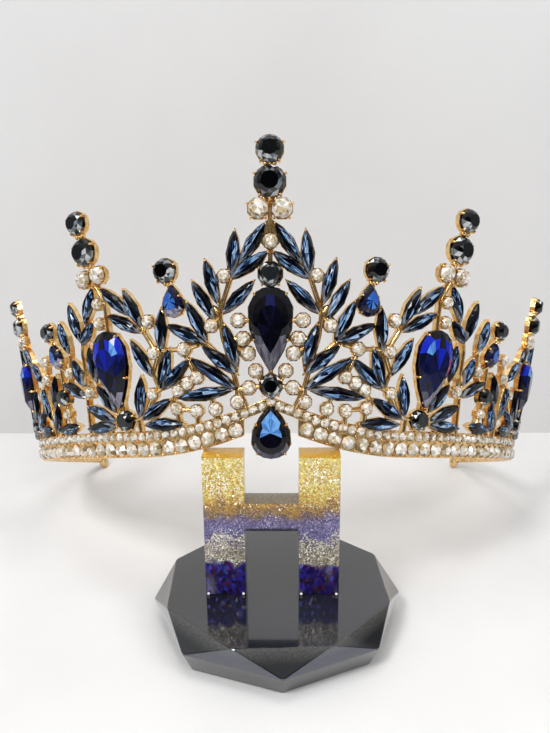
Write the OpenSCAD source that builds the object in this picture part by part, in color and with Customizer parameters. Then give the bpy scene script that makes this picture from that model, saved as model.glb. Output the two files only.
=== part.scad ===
// Rhinestone tiara resting on an H-shaped display stand.
// The stand's base lies on the ground, the band rests on the tops of the two posts,
// and the loops at the tiara's two ends rest on the ground behind the stand.
// Millimetres, +Z up, the wearer's forehead side faces -Y, origin in the middle under the base.

/* [Tiara] */
// Radius of the band's lower edge, seen from above
ring_r = 86.5; // [86:0.5:90]
// Outward lean of the openwork from the band upward, in degrees
flare = 12.5; // [10:0.5:15]
// Backward tilt of the whole tiara as it rests, in degrees
tilt = 24; // [23:0.5:25]
// Thickness of the metal behind the stones
plate_t = 1.0; // [0.8:0.1:1.4]
// Height of the cup walls around the stones
cup_h = 0.6; // [0.4:0.1:0.9]
// Thickness of a cup wall, seen from the front
cup_wall = 0.3; // [0.25:0.05:0.45]
// Width of a stem
stem_w = 1.2; // [1.0:0.1:1.5]

/* [Band] */
// Height of the band with its two rows of stones
band_h = 7.2; // [6.8:0.1:7.4]
// Height of the thin upper row alone
row_h = 2.8; // [2.4:0.1:3.0]
// Rise of the band's pointed arch in the middle
arch_rise = 9; // [8.5:0.25:9.5]
// Half the angle that the arch takes, in degrees
arch_half = 25; // [24:0.5:26]
// Outer radius of the loop at each end
loop_r = 2.4; // [2.2:0.1:2.8]
// Radius of the hole in each end loop
loop_hole_r = 1.1; // [0.8:0.1:1.3]

/* [Stones] */
// Width of a leaf stone
leaf_w = 3.1; // [2.8:0.05:3.1]
// Width of the drop under the arch
drop_w = 10.2; // [9.6:0.1:10.4]
// Length of the drop under the arch
drop_l = 14.3; // [13.6:0.1:14.4]
// Width of the three largest teardrops
tear_w = 11.6; // [11:0.1:11.6]
// Length of the three largest teardrops
tear_l = 22.4; // [21.6:0.1:22.4]

/* [Stand] */
// Distance over both posts
posts_w = 37.5; // [36:0.5:39]
// Width of one post
post_w = 11.3; // [10.5:0.1:12]
// Depth of the posts, front to back
post_d = 7; // [6.5:0.1:8]
// Height of the crossbar's lower face above the base
bar_low = 19.9; // [17:0.5:22]
// Height of the crossbar, bottom to top
bar_h = 8.3; // [7:0.1:9]
// Height of the base
base_h = 11.6; // [11:0.1:12.5]
// Radius of the base's eight-sided top face, to its corners
base_top_r = 33.3; // [32:0.1:34]
// Radius of the base's widest edge, to its corners
base_mid_r = 36.3; // [36:0.1:38]
// Radius of the base's foot, to its corners
base_foot_r = 33.2; // [32:0.1:34]

/* [Hidden] */
// The plate is bent in flat strips, each this many degrees wide, and each laps over its neighbours
strip_step = 6.16;
strip_count = 37;
strip_lap = 0.2;
// How far the strips' planes reach below the band's lower edge and above it
wedge_low = 10;
wedge_high = 100;
// Slits narrower than this are closed
slit_w = 0.82;
// How much the metal of even and odd strips grows all round, so that no edges of neighbours meet in a point
blend_even = 0.02;
blend_odd = 0.05;
// How far past its own width a strip looks for stones and stems, in degrees
strip_reach = 9;
arc_half = strip_step * strip_count / 2;

// Stones stand this far off the curved front face, and this far inside their cups
stone_lift = 0.2;
stone_gap = 0.12;
// A stone's height from its width, up to a limit
stone_h_share = 0.4;
stone_h_least = 0.45;
stone_h_most = 3.6;
// Where the girdle lies in a stone's height, and how wide its foot and table are
girdle_share = 0.4;
foot_share = 0.82;
table_share = 0.55;
leaf_sides = 8;
round_sides = 8;
main_sides = 12;

// Columns: name, angle from the middle in degrees, height up the plate, diameter
ROUNDS_MIDDLE = [
    ["round_spire_top", 0, 81.8, 6.9],
    ["round_spire_low", 0, 73.4, 8.1],
    ["round_above_teardrop", 0, 49.2, 6.2],
    ["round_below_teardrop", 0, 19.3, 5.8],
];
ROUNDS_SIDE = [
    ["round_inner", 17.1, 51.3, 6.2],
    ["round_side_top", 33.6, 68.6, 6.2],
    ["round_side_low", 32.6, 59.9, 7.4],
    ["round_side_base", 27.6, 10.6, 5.4],
    ["round_outer", 46.8, 39.6, 5.2],
    ["round_outer_base", 44.7, 18.9, 4.8],
    ["round_end_top", 67, 54, 5.2],
    ["round_end_low", 65, 46.4, 6.2],
    ["round_end_base", 64, 11.4, 5],
];
// Columns: name, angle, height, lean of the upper end away from the middle, length, width,
// and 1 where the tip points up or -1 where it points down
PEARS_MIDDLE = [
    ["teardrop_middle", 0, 34.5, 0, tear_l, tear_w, -1],
    ["drop_middle", 0, 6.9, 0, drop_l, drop_w, 1],
];
PEARS_SIDE = [
    ["pear_inner", 16.1, 43, 3, 8.4, 5.8, 1],
    ["teardrop_side", 29.3, 25.2, 6.6, tear_l, tear_w, -1],
    ["pear_outer", 44.9, 31.9, 20, 7.4, 5, 1],
    ["teardrop_end", 65, 25.6, 5, 17, 9, -1],
];

// Columns: angle, height, lean of the upper end away from the middle, length
LEAVES_MIDDLE = [
    [2.7, 57.4, -33.5, 11.8],
    [5.8, 54.7, -6, 11.6],
    [3.3, 51.5, -55, 11.6],
    [5.2, 43, -46, 11.6],
    [6.6, 30, 15, 11.4],
    [9.4, 47.4, 14.5, 11.6],
    [10.9, 42.6, 28.5, 11.4],
    [12.2, 37, 26, 11.4],
    [14.2, 33.8, 64, 11.6],
    [8.6, 26.4, 50, 11.6],
    [9.6, 22.5, 56, 15.2],
    [11.5, 17.2, 97, 15.4],
];
LEAVES_SIDE = [
    [18.7, 35.1, -5, 11.4],
    [18.6, 24.5, -18, 11],
    [16.5, 22.8, -48, 11.4],
    [22.9, 27.8, 30.5, 11.6],
    [27.2, 44.4, 48, 12.6],
    [23.8, 41.9, 25.5, 11.6],
    [25.8, 38, 62, 12],
    [33.4, 44.5, -25, 10.4],
    [34.6, 36.6, -42, 7.8],
    [37.6, 40.1, 17, 12],
    [34.2, 27.4, 8, 10.4],
    [31.8, 17.1, 39, 10],
    [33.6, 12.9, 66, 11.8],
    [34, 8.9, 92, 11.8],
    [24, 16.8, -7.5, 11.4],
    [21, 13.3, -61, 10.6],
    [19.6, 9.1, -90, 11.8],
    [40.5, 20.6, 64, 12],
    [38.5, 25.4, 25, 9],
    [41.5, 36.5, 18, 10],
    [47.9, 21, -16, 10],
    [48.3, 12.5, -14, 9],
    [44.6, 9.1, -85, 11],
    [53, 17.6, 22, 11],
    [55.9, 28.4, 50, 11],
    [61.5, 35, 51, 10.6],
    [60.4, 17.4, -8, 11.4],
    [57.9, 13, -60, 10.6],
    [56.6, 9.1, -90, 11.8],
    [68.2, 16.6, 38, 10.4],
    [70.2, 12.7, 66, 11.6],
    [70.6, 8.9, 91, 11.6],
    [71.3, 26.5, 20, 11],
    [70.4, 37, 16, 11.6],
    [77.2, 15, 40, 11.6],
    [79, 9.1, 84, 11.6],
];

// Columns: angle, height, diameter
CLEARS_MIDDLE = [
    [1.8, 66.4, 5.2],
    [5.25, 36.9, 3.5],
    [4.5, 32, 3.5],
    [3.75, 28, 3.5],
    [2.5, 23.3, 3.4],
    [3.7, 18.7, 3.4],
    [7.3, 48.9, 3.2],
    [9.8, 35.7, 3.4],
    [14.7, 29.6, 3.4],
    [12.7, 21.8, 3.2],
    [14.5, 20.3, 3.2],
    [5.8, 14.9, 3.3],
    [9.7, 13, 3.3],
    [13.1, 12.6, 3.2],
];
CLEAR_SPIRE = [0, 57.8, 3.6];
CLEARS_SIDE = [
    [16.3, 18.4, 3.2],
    [16.8, 13.4, 3.2],
    [20.5, 29.2, 3.2],
    [21, 37.9, 3.3],
    [21.4, 17.7, 3],
    [30.2, 52.8, 4.8],
    [33.6, 52.2, 4.8],
    [31.2, 44.6, 3.1],
    [31.3, 38.9, 3.1],
    [35.9, 19.4, 3.2],
    [44.2, 13.6, 3],
    [41.4, 26, 3],
    [50.4, 31.2, 3.2],
    [51.2, 25.4, 3.2],
    [55.4, 20.6, 3.2],
    [64, 41, 3.8],
    [67, 40.8, 3.8],
    [74.4, 20.4, 3.2],
];

// Metal stems, each a run of points with the columns angle and height
STEMS_MIDDLE = [
    [[6.3, 48.3], [7.6, 42.2], [8.3, 38.5], [7.9, 32.5], [6.6, 24.5], [5.6, 18.3], [4, 13]],
    [[10.6, 30.8], [6.6, 24.6]],
    [[9.8, 35.7], [8.3, 38.5], [9.2, 40.6]],
    [[5.2, 36.9], [2.4, 36.9]],
    [[3.75, 28], [6.2, 30]],
    [[4.5, 32], [7.8, 31.6]],
    [[2.5, 23.3], [1.2, 19.3], [3.7, 18.7], [5.6, 18.3]],
    [[14.4, 27.4], [12.7, 21.8], [14.5, 20.3], [16.3, 18.4], [17.4, 15.8], [16.8, 13.4], [16.4, 7]],
    [[12.3, 30.6], [14.7, 29.6]],
    [[9.7, 13], [9.6, 9]],
    [[9.7, 13], [10.4, 16.2]],
    [[13.1, 12.6], [13, 8]],
    [[5.8, 14.9], [5.7, 18]],
    [[12.9, 12.6], [16.8, 13.4]],
];
STEM_SPIRE = [[0, 83], [0, 58], [0, 48]];
STEM_BELOW = [[0, 23.4], [0, 14]];
STEMS_SIDE = [
    [[16.9, 50], [16.3, 45]],
    [[17, 39.6], [18.4, 40.4]],
    [[19.3, 29.8], [20.4, 30.6], [22.2, 35.6], [22.4, 36.8]],
    [[19.3, 29.8], [20.9, 23.4], [19.9, 18.9], [21.4, 17.7], [23, 12.4], [24.9, 10.8], [27.6, 10.6]],
    [[21, 37.9], [22, 35.4]],
    [[19.3, 29.8], [14.7, 29.6]],
    [[33.6, 68.6], [32.6, 59.9], [31.2, 49.6], [29.7, 45], [29.6, 35]],
    [[31.3, 38.9], [29.7, 38.9]],
    [[31.2, 44.6], [29.7, 45]],
    [[36.3, 34.2], [36.8, 31], [36.6, 24.8], [35.9, 19.4], [37, 17.6]],
    [[35.9, 19.4], [33.4, 20.6]],
    [[34.6, 23], [36.4, 24]],
    [[28.1, 15.4], [27.6, 8]],
    [[24.9, 10.8], [24.7, 6.4]],
    [[37.2, 17.6], [37.6, 6.4]],
    [[36.6, 24.8], [37.6, 21.8]],
    [[30.2, 9.2], [30, 11.4]],
    [[41.3, 35.6], [40.6, 32], [41.4, 26], [42.8, 22.4]],
    [[46.8, 39.6], [45.4, 35.4]],
    [[44.4, 29.4], [44.7, 18.9], [44.2, 13.6], [43.6, 10]],
    [[41.4, 26], [44.4, 28]],
    [[46.6, 25.4], [44.8, 25]],
    [[44.7, 18.9], [43.4, 22.6]],
    [[47.6, 16.8], [47.4, 16.2], [49, 6.4]],
    [[50.4, 31.2], [51.2, 25.4], [52.9, 25], [51.4, 12.6], [50.8, 6.4]],
    [[52.9, 25], [53.4, 24.8]],
    [[50.4, 31.2], [45.6, 31.6]],
    [[67, 54], [65, 46.4], [65.3, 40], [65.4, 33]],
    [[65.4, 38], [64.6, 39.4]],
    [[59.4, 32.4], [58.6, 31.6]],
    [[53.3, 24.8], [55.4, 20.6], [57.6, 16.4], [61, 10.4], [64, 11.4]],
    [[64.6, 18], [64, 6.4]],
    [[61, 10.4], [61, 6.4]],
    [[66.6, 12.2], [67, 9.4]],
    [[70.2, 20.6], [70, 22.4], [73, 24.6], [74.4, 20.4], [74.4, 14], [73.8, 6.4]],
    [[69.4, 32.4], [70.6, 24.6]],
    [[66.2, 36], [69.2, 32.4]],
    [[75.2, 11.4], [75, 8.8], [75.2, 6.4]],
];

// The lower row of the band stops this far from the middle, beside the drop, in degrees
lower_row_end = 4.8;
// A strip's stretch of the band is drawn in this many straight steps
band_steps = 8;
// No stone lies further round than this, in degrees
stones_end = 88;

// Where the loops at the ends sit, past the last strip and above the band's lower edge
loop_past = 1.1;
loop_up = 0;
loop_t = 1.2;

// Where the tiara sits over the stand
front_y = -4.65;
post_front_y = -7.8;
seat_gap = 0.1;
posts_gap = posts_w - 2 * post_w;

// The base: its flat foot, its widest edge, and its small turn and shift against the posts
foot_h = 0.6;
mid_z = 6.35;
base_turn = 3;
base_x = 1.3;

function stone_h(w) = min(stone_h_most, stone_h_share * w + stone_h_least);
function radius_at(h) = ring_r + h * sin(flare);
function arch(a) = arch_rise * pow(max(0, 1 - abs(a) / arch_half), 2);

// World height of a point at an angle and height on the plate, n outward from its front face
function ring_y(a, h, n) = ring_r - (radius_at(h) + n * cos(flare)) * cos(a);
function ring_z(h, n) = h * cos(flare) - n * sin(flare);
function drop_below_front(a, h, n) = ring_y(a, h, n) * sin(tilt) - ring_z(h, n) * cos(tilt);

// The end loops just touch the ground, which sets the height of the band's front
loop_a = arc_half + loop_past;
front_z = drop_below_front(loop_a, loop_up, 0) + loop_r + 0.02;
// The posts reach to the band's lower back edge over their outer faces
seat_a = asin(posts_w / 2 / ring_r);
post_top_z = front_z - drop_below_front(seat_a, arch(seat_a), -plate_t) - seat_gap;

// The widest value of sin(u) * sin(u / 2), which shapes a pear
pear_peak = 0.7698;

function side_name(name, side) = str(name, side < 0 ? "_left" : "_right");
SIDE_NAMES = [for (side = [-1, 1], r = concat(ROUNDS_SIDE, PEARS_SIDE)) side_name(r[0], side)];

// A leaf outline, pointed at both ends
function leaf_outline(l, w, n) = [
    for (i = [0:n - 1]) let (u = 360 * i / n, across = 1 - cos(u) * cos(u))
        [sign(sin(u)) * w / 2 * across, l / 2 * cos(u)]
];
// A pear outline with its tip up for a tip of 1, or down for -1
function pear_outline(l, w, tip, n) = [
    for (i = [0:n - 1]) let (u = 360 * i / n)
        tip * [w / 2 * sin(u) * abs(sin(u / 2)) / pear_peak, l / 2 * cos(u)]
];
function round_outline(d, n) = [for (i = [0:n - 1]) let (u = 360 * (i + 0.5) / n) d / 2 * [sin(u), cos(u)]];

// Puts the children on the curved plate, facing outward
module on_ring(angle, height, lean) {
    translate([0, ring_r, 0])
        rotate([0, 0, angle])
            translate([0, -ring_r, 0])
                rotate([90 + flare, 0, 0])
                    translate([0, height, 0])
                        rotate([0, 0, -lean])
                            children();
}

// Sets the tiara down on the posts and on the ground behind them
module seated() {
    translate([0, front_y, front_z]) rotate([-tilt, 0, 0]) children();
}

// A cut stone: foot, girdle and table are the outline at three sizes
module cut_stone(outline, w) {
    n = len(outline);
    h = stone_h(w);
    rings = [[foot_share, 0], [1, girdle_share * h], [table_share, h]];
    points = [for (r = rings, p = outline) [p[0] * r[0], p[1] * r[0], stone_lift + r[1]]];
    sides = [
        for (k = [0:len(rings) - 2], i = [0:n - 1]) let (j = (i + 1) % n)
            [k * n + j, (k + 1) * n + j, (k + 1) * n + i, k * n + i]
    ];
    foot = [for (i = [n - 1:-1:0]) i];
    table = [for (i = [0:n - 1]) (len(rings) - 1) * n + i];
    polyhedron(points = points, faces = concat(sides, [foot, table]));
}

module round_stone(angle, height, d, sides) {
    on_ring(angle, height, 0) cut_stone(round_outline(d, sides), d);
}

module leaf_stone(angle, height, lean, l) {
    on_ring(angle, height, lean) cut_stone(leaf_outline(l, leaf_w, leaf_sides), leaf_w);
}

module pear_stone(angle, height, lean, l, w, tip) {
    on_ring(angle, height, lean) cut_stone(pear_outline(l, w, tip, main_sides), w);
}

// Fields of small stones: rows of a table on the given sides of the tiara
module leaf_field(rows, sides) {
    for (side = sides, r = rows) leaf_stone(side * r[0], r[1], side * r[2], r[3]);
}

module clear_field(rows, sides) {
    for (side = sides, r = rows) round_stone(side * r[0], r[1], r[2], round_sides);
}

// The same places on one flat strip of the plate: angles become distances from its middle line
function strip_x(strip_a, angle, height) = radius_at(height) * tan(angle - strip_a);
function strip_near(strip_a, angle) = abs(angle - strip_a) < strip_step / 2 + strip_reach;

module on_strip(strip_a, angle, height, lean) {
    if (strip_near(strip_a, angle))
        translate([strip_x(strip_a, angle, height), height])
            rotate(-lean - atan(sin(flare) * tan(angle - strip_a)))
                children();
}

module stone_outlines(strip_a) {
    for (r = ROUNDS_MIDDLE) on_strip(strip_a, 0, r[2], 0) polygon(round_outline(r[3], main_sides));
    on_strip(strip_a, 0, CLEAR_SPIRE[1], 0) polygon(round_outline(CLEAR_SPIRE[2], round_sides));
    for (r = PEARS_MIDDLE)
        on_strip(strip_a, 0, r[2], 0) polygon(pear_outline(r[4], r[5], r[6], main_sides));
    for (side = [-1, 1]) {
        for (r = ROUNDS_SIDE)
            on_strip(strip_a, side * r[1], r[2], 0) polygon(round_outline(r[3], main_sides));
        for (r = PEARS_SIDE)
            on_strip(strip_a, side * r[1], r[2], side * r[3])
                polygon(pear_outline(r[4], r[5], r[6], main_sides));
        for (r = concat(LEAVES_MIDDLE, LEAVES_SIDE))
            on_strip(strip_a, side * r[0], r[1], side * r[2])
                polygon(leaf_outline(r[3], leaf_w, leaf_sides));
        for (r = concat(CLEARS_MIDDLE, CLEARS_SIDE))
            on_strip(strip_a, side * r[0], r[1], 0) polygon(round_outline(r[2], round_sides));
    }
}

// One straight piece of a stem between two points of a strip
module stem_piece(from, to) {
    run = to - from;
    translate(from) {
        circle(d = stem_w, $fn = 8);
        rotate(atan2(run[1], run[0])) translate([0, -stem_w / 2]) square([norm(run), stem_w]);
    }
    translate(to) circle(d = stem_w, $fn = 8);
}

module stem(strip_a, path, side) {
    for (i = [0:len(path) - 2])
        if (strip_near(strip_a, side * path[i][0]))
            stem_piece(
                [strip_x(strip_a, side * path[i][0], path[i][1]), path[i][1]],
                [strip_x(strip_a, side * path[i + 1][0], path[i + 1][1]), path[i + 1][1]]
            );
}

module stems(strip_a) {
    stem(strip_a, STEM_SPIRE, 1);
    stem(strip_a, STEM_BELOW, 1);
    for (side = [-1, 1], path = concat(STEMS_MIDDLE, STEMS_SIDE)) stem(strip_a, path, side);
}

// A row of the band between two angles, from one height over the arch's line to another
module band_row(strip_a, from, to, low, high) {
    angles = [for (i = [0:band_steps]) from + (to - from) * i / band_steps];
    function at(a, up) = [strip_x(strip_a, a, arch(a) + up), arch(a) + up];
    polygon(concat([for (a = angles) at(a, low)], [for (i = [band_steps:-1:0]) at(angles[i], high)]));
}

module band(strip_a) {
    from = strip_a - strip_step / 2 - 1;
    to = strip_a + strip_step / 2 + 1;
    band_row(strip_a, from, to, band_h - row_h, band_h);
    if (strip_a > 0) band_row(strip_a, max(from, lower_row_end), to, 0, band_h - row_h / 2);
    else band_row(strip_a, from, min(to, -lower_row_end), 0, band_h - row_h / 2);
}

// The upright wedge that one strip fills, a little wider than its share of the ring
module strip_wedge(strip_a) {
    far = 1.5 * ring_r;
    half = tan(strip_step / 2 + strip_lap);
    translate([0, ring_r, -wedge_low]) rotate([0, 0, strip_a])
        linear_extrude(wedge_low + wedge_high) polygon([[0, 0], [-far * half, -far], [far * half, -far]]);
}

// The cups, stems and band of one strip
module strip_metal(strip_a) {
    offset(delta = stone_gap + cup_wall) stone_outlines(strip_a);
    stems(strip_a);
    band(strip_a);
}

// The same with slits too thin to see closed
module strip_layout(strip_a, blend) {
    offset(delta = blend) {
        offset(delta = -slit_w / 2) offset(delta = slit_w / 2) strip_metal(strip_a);
        strip_metal(strip_a);
    }
}

module strip(strip_a, blend) {
    intersection() {
        on_ring(strip_a, 0, 0) difference() {
            translate([0, 0, -plate_t]) linear_extrude(plate_t + cup_h) strip_layout(strip_a, blend);
            if (abs(strip_a) < stones_end)
                linear_extrude(cup_h + 1) offset(delta = stone_gap) stone_outlines(strip_a);
        }
        strip_wedge(strip_a);
    }
}

module end_loop(side) {
    on_ring(side * loop_a, loop_up, 0) translate([0, 0, -plate_t]) difference() {
        cylinder(h = loop_t, r = loop_r, $fn = 48);
        translate([0, 0, -1]) cylinder(h = loop_t + 2, r = loop_hole_r, $fn = 48);
    }
}

module frame() {
    color("gold") seated() {
        for (k = [0:strip_count - 1])
            strip((k - (strip_count - 1) / 2) * strip_step, k % 2 == 0 ? blend_even : blend_odd);
        for (side = [-1, 1]) end_loop(side);
    }
}

module base() {
    rings = [[base_foot_r, foot_h, 0], [base_mid_r, mid_z, 0], [base_top_r, base_h, 22.5]];
    points = [for (r = rings, k = [0:7]) [r[0] * cos(45 * k + r[2]), r[0] * sin(45 * k + r[2]), r[1]]];
    skirt = [for (k = [0:7]) [k, 8 + k, 8 + (k + 1) % 8, (k + 1) % 8]];
    facets_up = [for (k = [0:7]) [8 + (k + 1) % 8, 8 + k, 16 + k]];
    facets_down = [for (k = [0:7]) [16 + k, 16 + (k + 1) % 8, 8 + (k + 1) % 8]];
    under = [for (k = [0:7]) k];
    top = [for (k = [7:-1:0]) 16 + k];
    color("black") translate([base_x, 0, 0]) rotate(base_turn) {
        polyhedron(points = points, faces = concat(skirt, facets_up, facets_down, [under, top]));
        cylinder(h = foot_h, r = base_foot_r, $fn = 8);
    }
}

module posts() {
    color("mediumpurple") translate([0, post_front_y, base_h]) {
        for (side = [-1, 1])
            translate([side * (posts_gap + post_w) / 2 - post_w / 2, 0, 0])
                cube([post_w, post_d, post_top_z - base_h]);
        translate([-posts_gap / 2 - 1, 0, bar_low]) cube([posts_gap + 2, post_d, bar_h]);
    }
}

module leaves(name) {
    color("steelblue") seated() {
        if (name == "leaves_middle") leaf_field(LEAVES_MIDDLE, [-1, 1]);
        if (name == "leaves_left") leaf_field(LEAVES_SIDE, [-1]);
        if (name == "leaves_right") leaf_field(LEAVES_SIDE, [1]);
    }
}

module clears(name) {
    color("white") seated() {
        if (name == "clears_middle") {
            clear_field(CLEARS_MIDDLE, [-1, 1]);
            round_stone(0, CLEAR_SPIRE[1], CLEAR_SPIRE[2], round_sides);
        }
        if (name == "clears_left") clear_field(CLEARS_SIDE, [-1]);
        if (name == "clears_right") clear_field(CLEARS_SIDE, [1]);
    }
}

module main_round(angle, height, d) {
    color("black") seated() round_stone(angle, height, d, main_sides);
}

module main_pear(angle, height, lean, l, w, tip) {
    color("midnightblue") seated() pear_stone(angle, height, lean, l, w, tip);
}

frame();
base();
posts();
for (name = ["leaves_middle", "leaves_left", "leaves_right"])
    leaves(name);
for (name = ["clears_middle", "clears_left", "clears_right"])
    clears(name);
for (r = ROUNDS_MIDDLE)
    main_round(r[1], r[2], r[3]);
for (r = PEARS_MIDDLE)
    main_pear(r[1], r[2], r[3], r[4], r[5], r[6]);
for (side = [-1, 1], r = ROUNDS_SIDE)
    main_round(side * r[1], r[2], r[3]);
for (side = [-1, 1], r = PEARS_SIDE)
    main_pear(side * r[1], r[2], side * r[3], r[4], r[5], r[6]);
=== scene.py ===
"""Rhinestone tiara resting on an H-shaped resin display stand, seen as in the photograph.

The CAD frame gives every place; this script adds the cut stones, the settings and the finishes.
Sizes and tables are in millimetres, and every mesh is in metres.
"""

import logging
import math
import random
from collections.abc import Callable, Iterable, Sequence
from dataclasses import dataclass
from enum import Enum
from functools import cache

import bpy
from bpy.types import Material, Mesh, MeshVertex, NodeSocket, NodeTree, Object
from mathutils import Matrix, Vector

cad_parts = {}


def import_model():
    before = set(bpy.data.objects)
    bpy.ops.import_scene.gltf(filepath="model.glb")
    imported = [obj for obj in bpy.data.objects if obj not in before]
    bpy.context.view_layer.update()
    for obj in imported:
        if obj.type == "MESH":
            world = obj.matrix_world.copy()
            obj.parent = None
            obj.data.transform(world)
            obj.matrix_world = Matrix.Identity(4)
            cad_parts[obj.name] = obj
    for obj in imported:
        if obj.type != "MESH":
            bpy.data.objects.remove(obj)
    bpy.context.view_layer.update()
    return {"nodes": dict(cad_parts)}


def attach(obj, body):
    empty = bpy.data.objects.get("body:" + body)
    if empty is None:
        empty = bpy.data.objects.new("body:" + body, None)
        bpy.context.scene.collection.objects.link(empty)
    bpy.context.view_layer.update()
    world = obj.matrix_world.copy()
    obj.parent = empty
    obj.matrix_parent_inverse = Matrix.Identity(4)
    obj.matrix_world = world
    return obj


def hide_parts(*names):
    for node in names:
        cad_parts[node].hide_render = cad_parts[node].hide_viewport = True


logging.basicConfig(level=logging.INFO, format="%(message)s")
log = logging.getLogger("tiara")

MM = 0.001
SEED = 1826

Colour = tuple[float, float, float, float]
Stops = tuple[tuple[float, str], ...]
Path = Sequence[tuple[float, float]]


class Part(Enum):
    """The parts of the tiara, each with the side that it lies on."""

    MIDDLE = 0
    LEFT = -1
    RIGHT = 1

    @property
    def ending(self) -> str:
        """The ending of its nodes' names."""
        return "_" + self.name.lower()


class Slot(Enum):
    """The record's material slots."""

    GOLD = "gold_alloy"
    BLACK_RESIN = "black_resin"
    GLITTER = "glitter_resin"
    STEEL_BLUE = "steel_blue_crystal"
    CLEAR = "clear_crystal"
    BLACK = "black_crystal"
    DEEP_BLUE = "deep_blue_crystal"


class Cut(Enum):
    """The cuts of stone: a name, the number of sides, and whether there are star facets."""

    ROUND = ("round", 12, True)
    PEAR = ("pear", 20, True)
    LEAF = ("leaf", 12, True)
    CLEAR = ("small round", 10, True)
    TINY = ("tiny round", 8, False)


class Zone(Enum):
    """The part of a cut stone that a facet belongs to, with its upper level in the unit stone."""

    FOOT = 0.02
    BELLY = 0.35
    GIRDLE = 0.45
    CROWN = 0.79
    STAR = 0.995
    TABLE = 2.0

    @staticmethod
    def at(level: float) -> "Zone":
        """The zone that holds a level in the unit stone."""
        return next(zone for zone in Zone if level < zone.value)


@dataclass(frozen=True)
class Facet:
    """One facet as the tones see it, with its place in shares of the half width and half length."""

    zone: Zone
    x: float
    y: float
    up: float
    side: int
    lot: float

    @property
    def outer(self) -> float:
        """Place across, positive away from the tiara's middle."""
        return self.x * (self.side or 1)

    @property
    def table(self) -> bool:
        """Whether it belongs to the stone's flat top."""
        return self.zone is Zone.TABLE

    @property
    def dark(self) -> bool:
        """Whether it lies in the dark half of a leaf stone, the right or by lot the left one."""
        return self.x * (1 if self.lot < 0.55 else -1) > 0

    @property
    def low(self) -> float:
        """How near it lies to the lower edge of a black round, painted as a grey sheen, to the right or by
        lot the left.
        """
        return self.x * (0.6 if self.lot < 0.6 else -0.4) - self.y


@dataclass(frozen=True)
class Patch:
    """Facets of a stone that look alike: their tones, which facets they are, and the share of them.

    A tone is a place on the crystal's colour ramp. The lift brightens it by the stone's lot.
    """

    tones: tuple[float, ...]
    holds: Callable[[Facet], bool] = lambda f: True
    share: float = 1.0
    lift: float = 0.0


Rule = tuple[Patch, ...]

# In each rule the first patch that holds a facet counts
LEAF_TONES: Rule = (
    # A few leaves are grey all over, the others dark in one half and bright with painted highlights in the
    # other
    Patch((0.88, 0.95, 1.0, 0.3), lambda f: f.lot > 0.98),
    Patch((0.04, 0.1, 0.16, 0.26), lambda f: f.table and f.dark),
    Patch((0.28, 0.46, 0.6, 0.74), lambda f: f.table),
    # Grey edge below, a painted reflection of the pale slab
    Patch((0.88, 0.94, 1.0, 0.92, 0.2), lambda f: f.up < -0.15 and f.zone is not Zone.STAR),
    Patch((0.1, 0.16, 0.22), lambda f: f.dark),
    Patch((0.26, 0.46, 0.56, 0.2)),
)
# Champagne: pale facets with brown and gold ones among them
CLEAR_TONES: Rule = (
    Patch((0.3, 0.46, 0.56, 0.66, 0.76, 0.9, 0.18, 0.5), lambda f: f.table),
    Patch((0.0, 0.12, 0.2, 0.34, 0.5, 0.62, 0.8, 1.0)),
)
ROUND_TONES: Rule = (
    # The table is near black on some rounds and grey on others
    Patch((0.02,), lambda f: f.table, lift=0.5),
    # Grey lower edge, a painted sheen
    Patch((0.55, 0.75, 0.86, 0.92, 0.94, 0.3), lambda f: f.low > 0.42),
    # A few facets above with painted glints
    Patch((1.0, 0.9, 0.86), lambda f: f.y > 0.3 and f.zone is Zone.CROWN, share=0.28),
    Patch((0.0, 0.05, 0.12, 0.25)),
)
MIDDLE_TEARDROP_TONES: Rule = (
    Patch((0.03, 0.06, 0.09, 0.13), lambda f: f.table),
    # Grey point, a painted reflection of the pale slab
    Patch((0.79, 0.84, 0.78), lambda f: f.y < -0.2),
    # Blue glint over the table
    Patch((0.22,), lambda f: f.zone is Zone.STAR and f.y > 0.3 and abs(f.x) < 0.2),
    Patch((0.01, 0.03, 0.05)),
)
SIDE_TEARDROP_TONES: Rule = (
    # Black top
    Patch((0.01, 0.04, 0.08), lambda f: f.y > 0.7 or (f.y > 0.45 and abs(f.x) < 0.16)),
    # Royal blue band with a paler facet, a painted highlight, on the inner side and a navy one on the outer
    Patch((0.52, 0.56), lambda f: f.y > 0.36 and f.outer < -0.5 and f.zone is Zone.STAR),
    Patch((0.36, 0.34, 0.31), lambda f: f.y > 0.36 and f.outer < 0.72),
    Patch((0.12,), lambda f: f.y > 0.36),
    # The right one is dark below the band, with a magenta facet at its outer side
    Patch((0.72,), lambda f: f.side > 0 and -0.1 < f.y < 0.3 and f.outer > 0.55 and not f.table),
    Patch((0.15, 0.19, 0.17, 0.22), lambda f: f.side > 0 and -0.1 < f.y < 0.3),
    # Indigo middle
    Patch((0.24, 0.27, 0.22), lambda f: f.y > 0.16),
    Patch((0.16, 0.2, 0.22, 0.18), lambda f: f.y > -0.1),
    # Grey lower outer side, a painted reflection of the pale slab
    Patch(
        (0.83, 0.86, 0.8, 0.9),
        lambda f: f.zone in (Zone.CROWN, Zone.STAR) and (f.outer > 0 or f.y < -0.6),
    ),
    Patch((0.12, 0.17, 0.2, 0.1)),
)
PEAR_TONES: Rule = (
    # Bright blue table
    Patch((0.47, 0.5, 0.52, 0.45, 0.22), lambda f: f.table),
    # Lavender bottom on the left, a painted reflection of the pale slab
    Patch((0.86, 0.92, 0.98), lambda f: f.y < -0.45 and f.side < 0),
    Patch((0.2, 0.14, 0.8), lambda f: f.y < -0.45),
    Patch((0.08, 0.12, 0.18, 0.2)),
)
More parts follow.
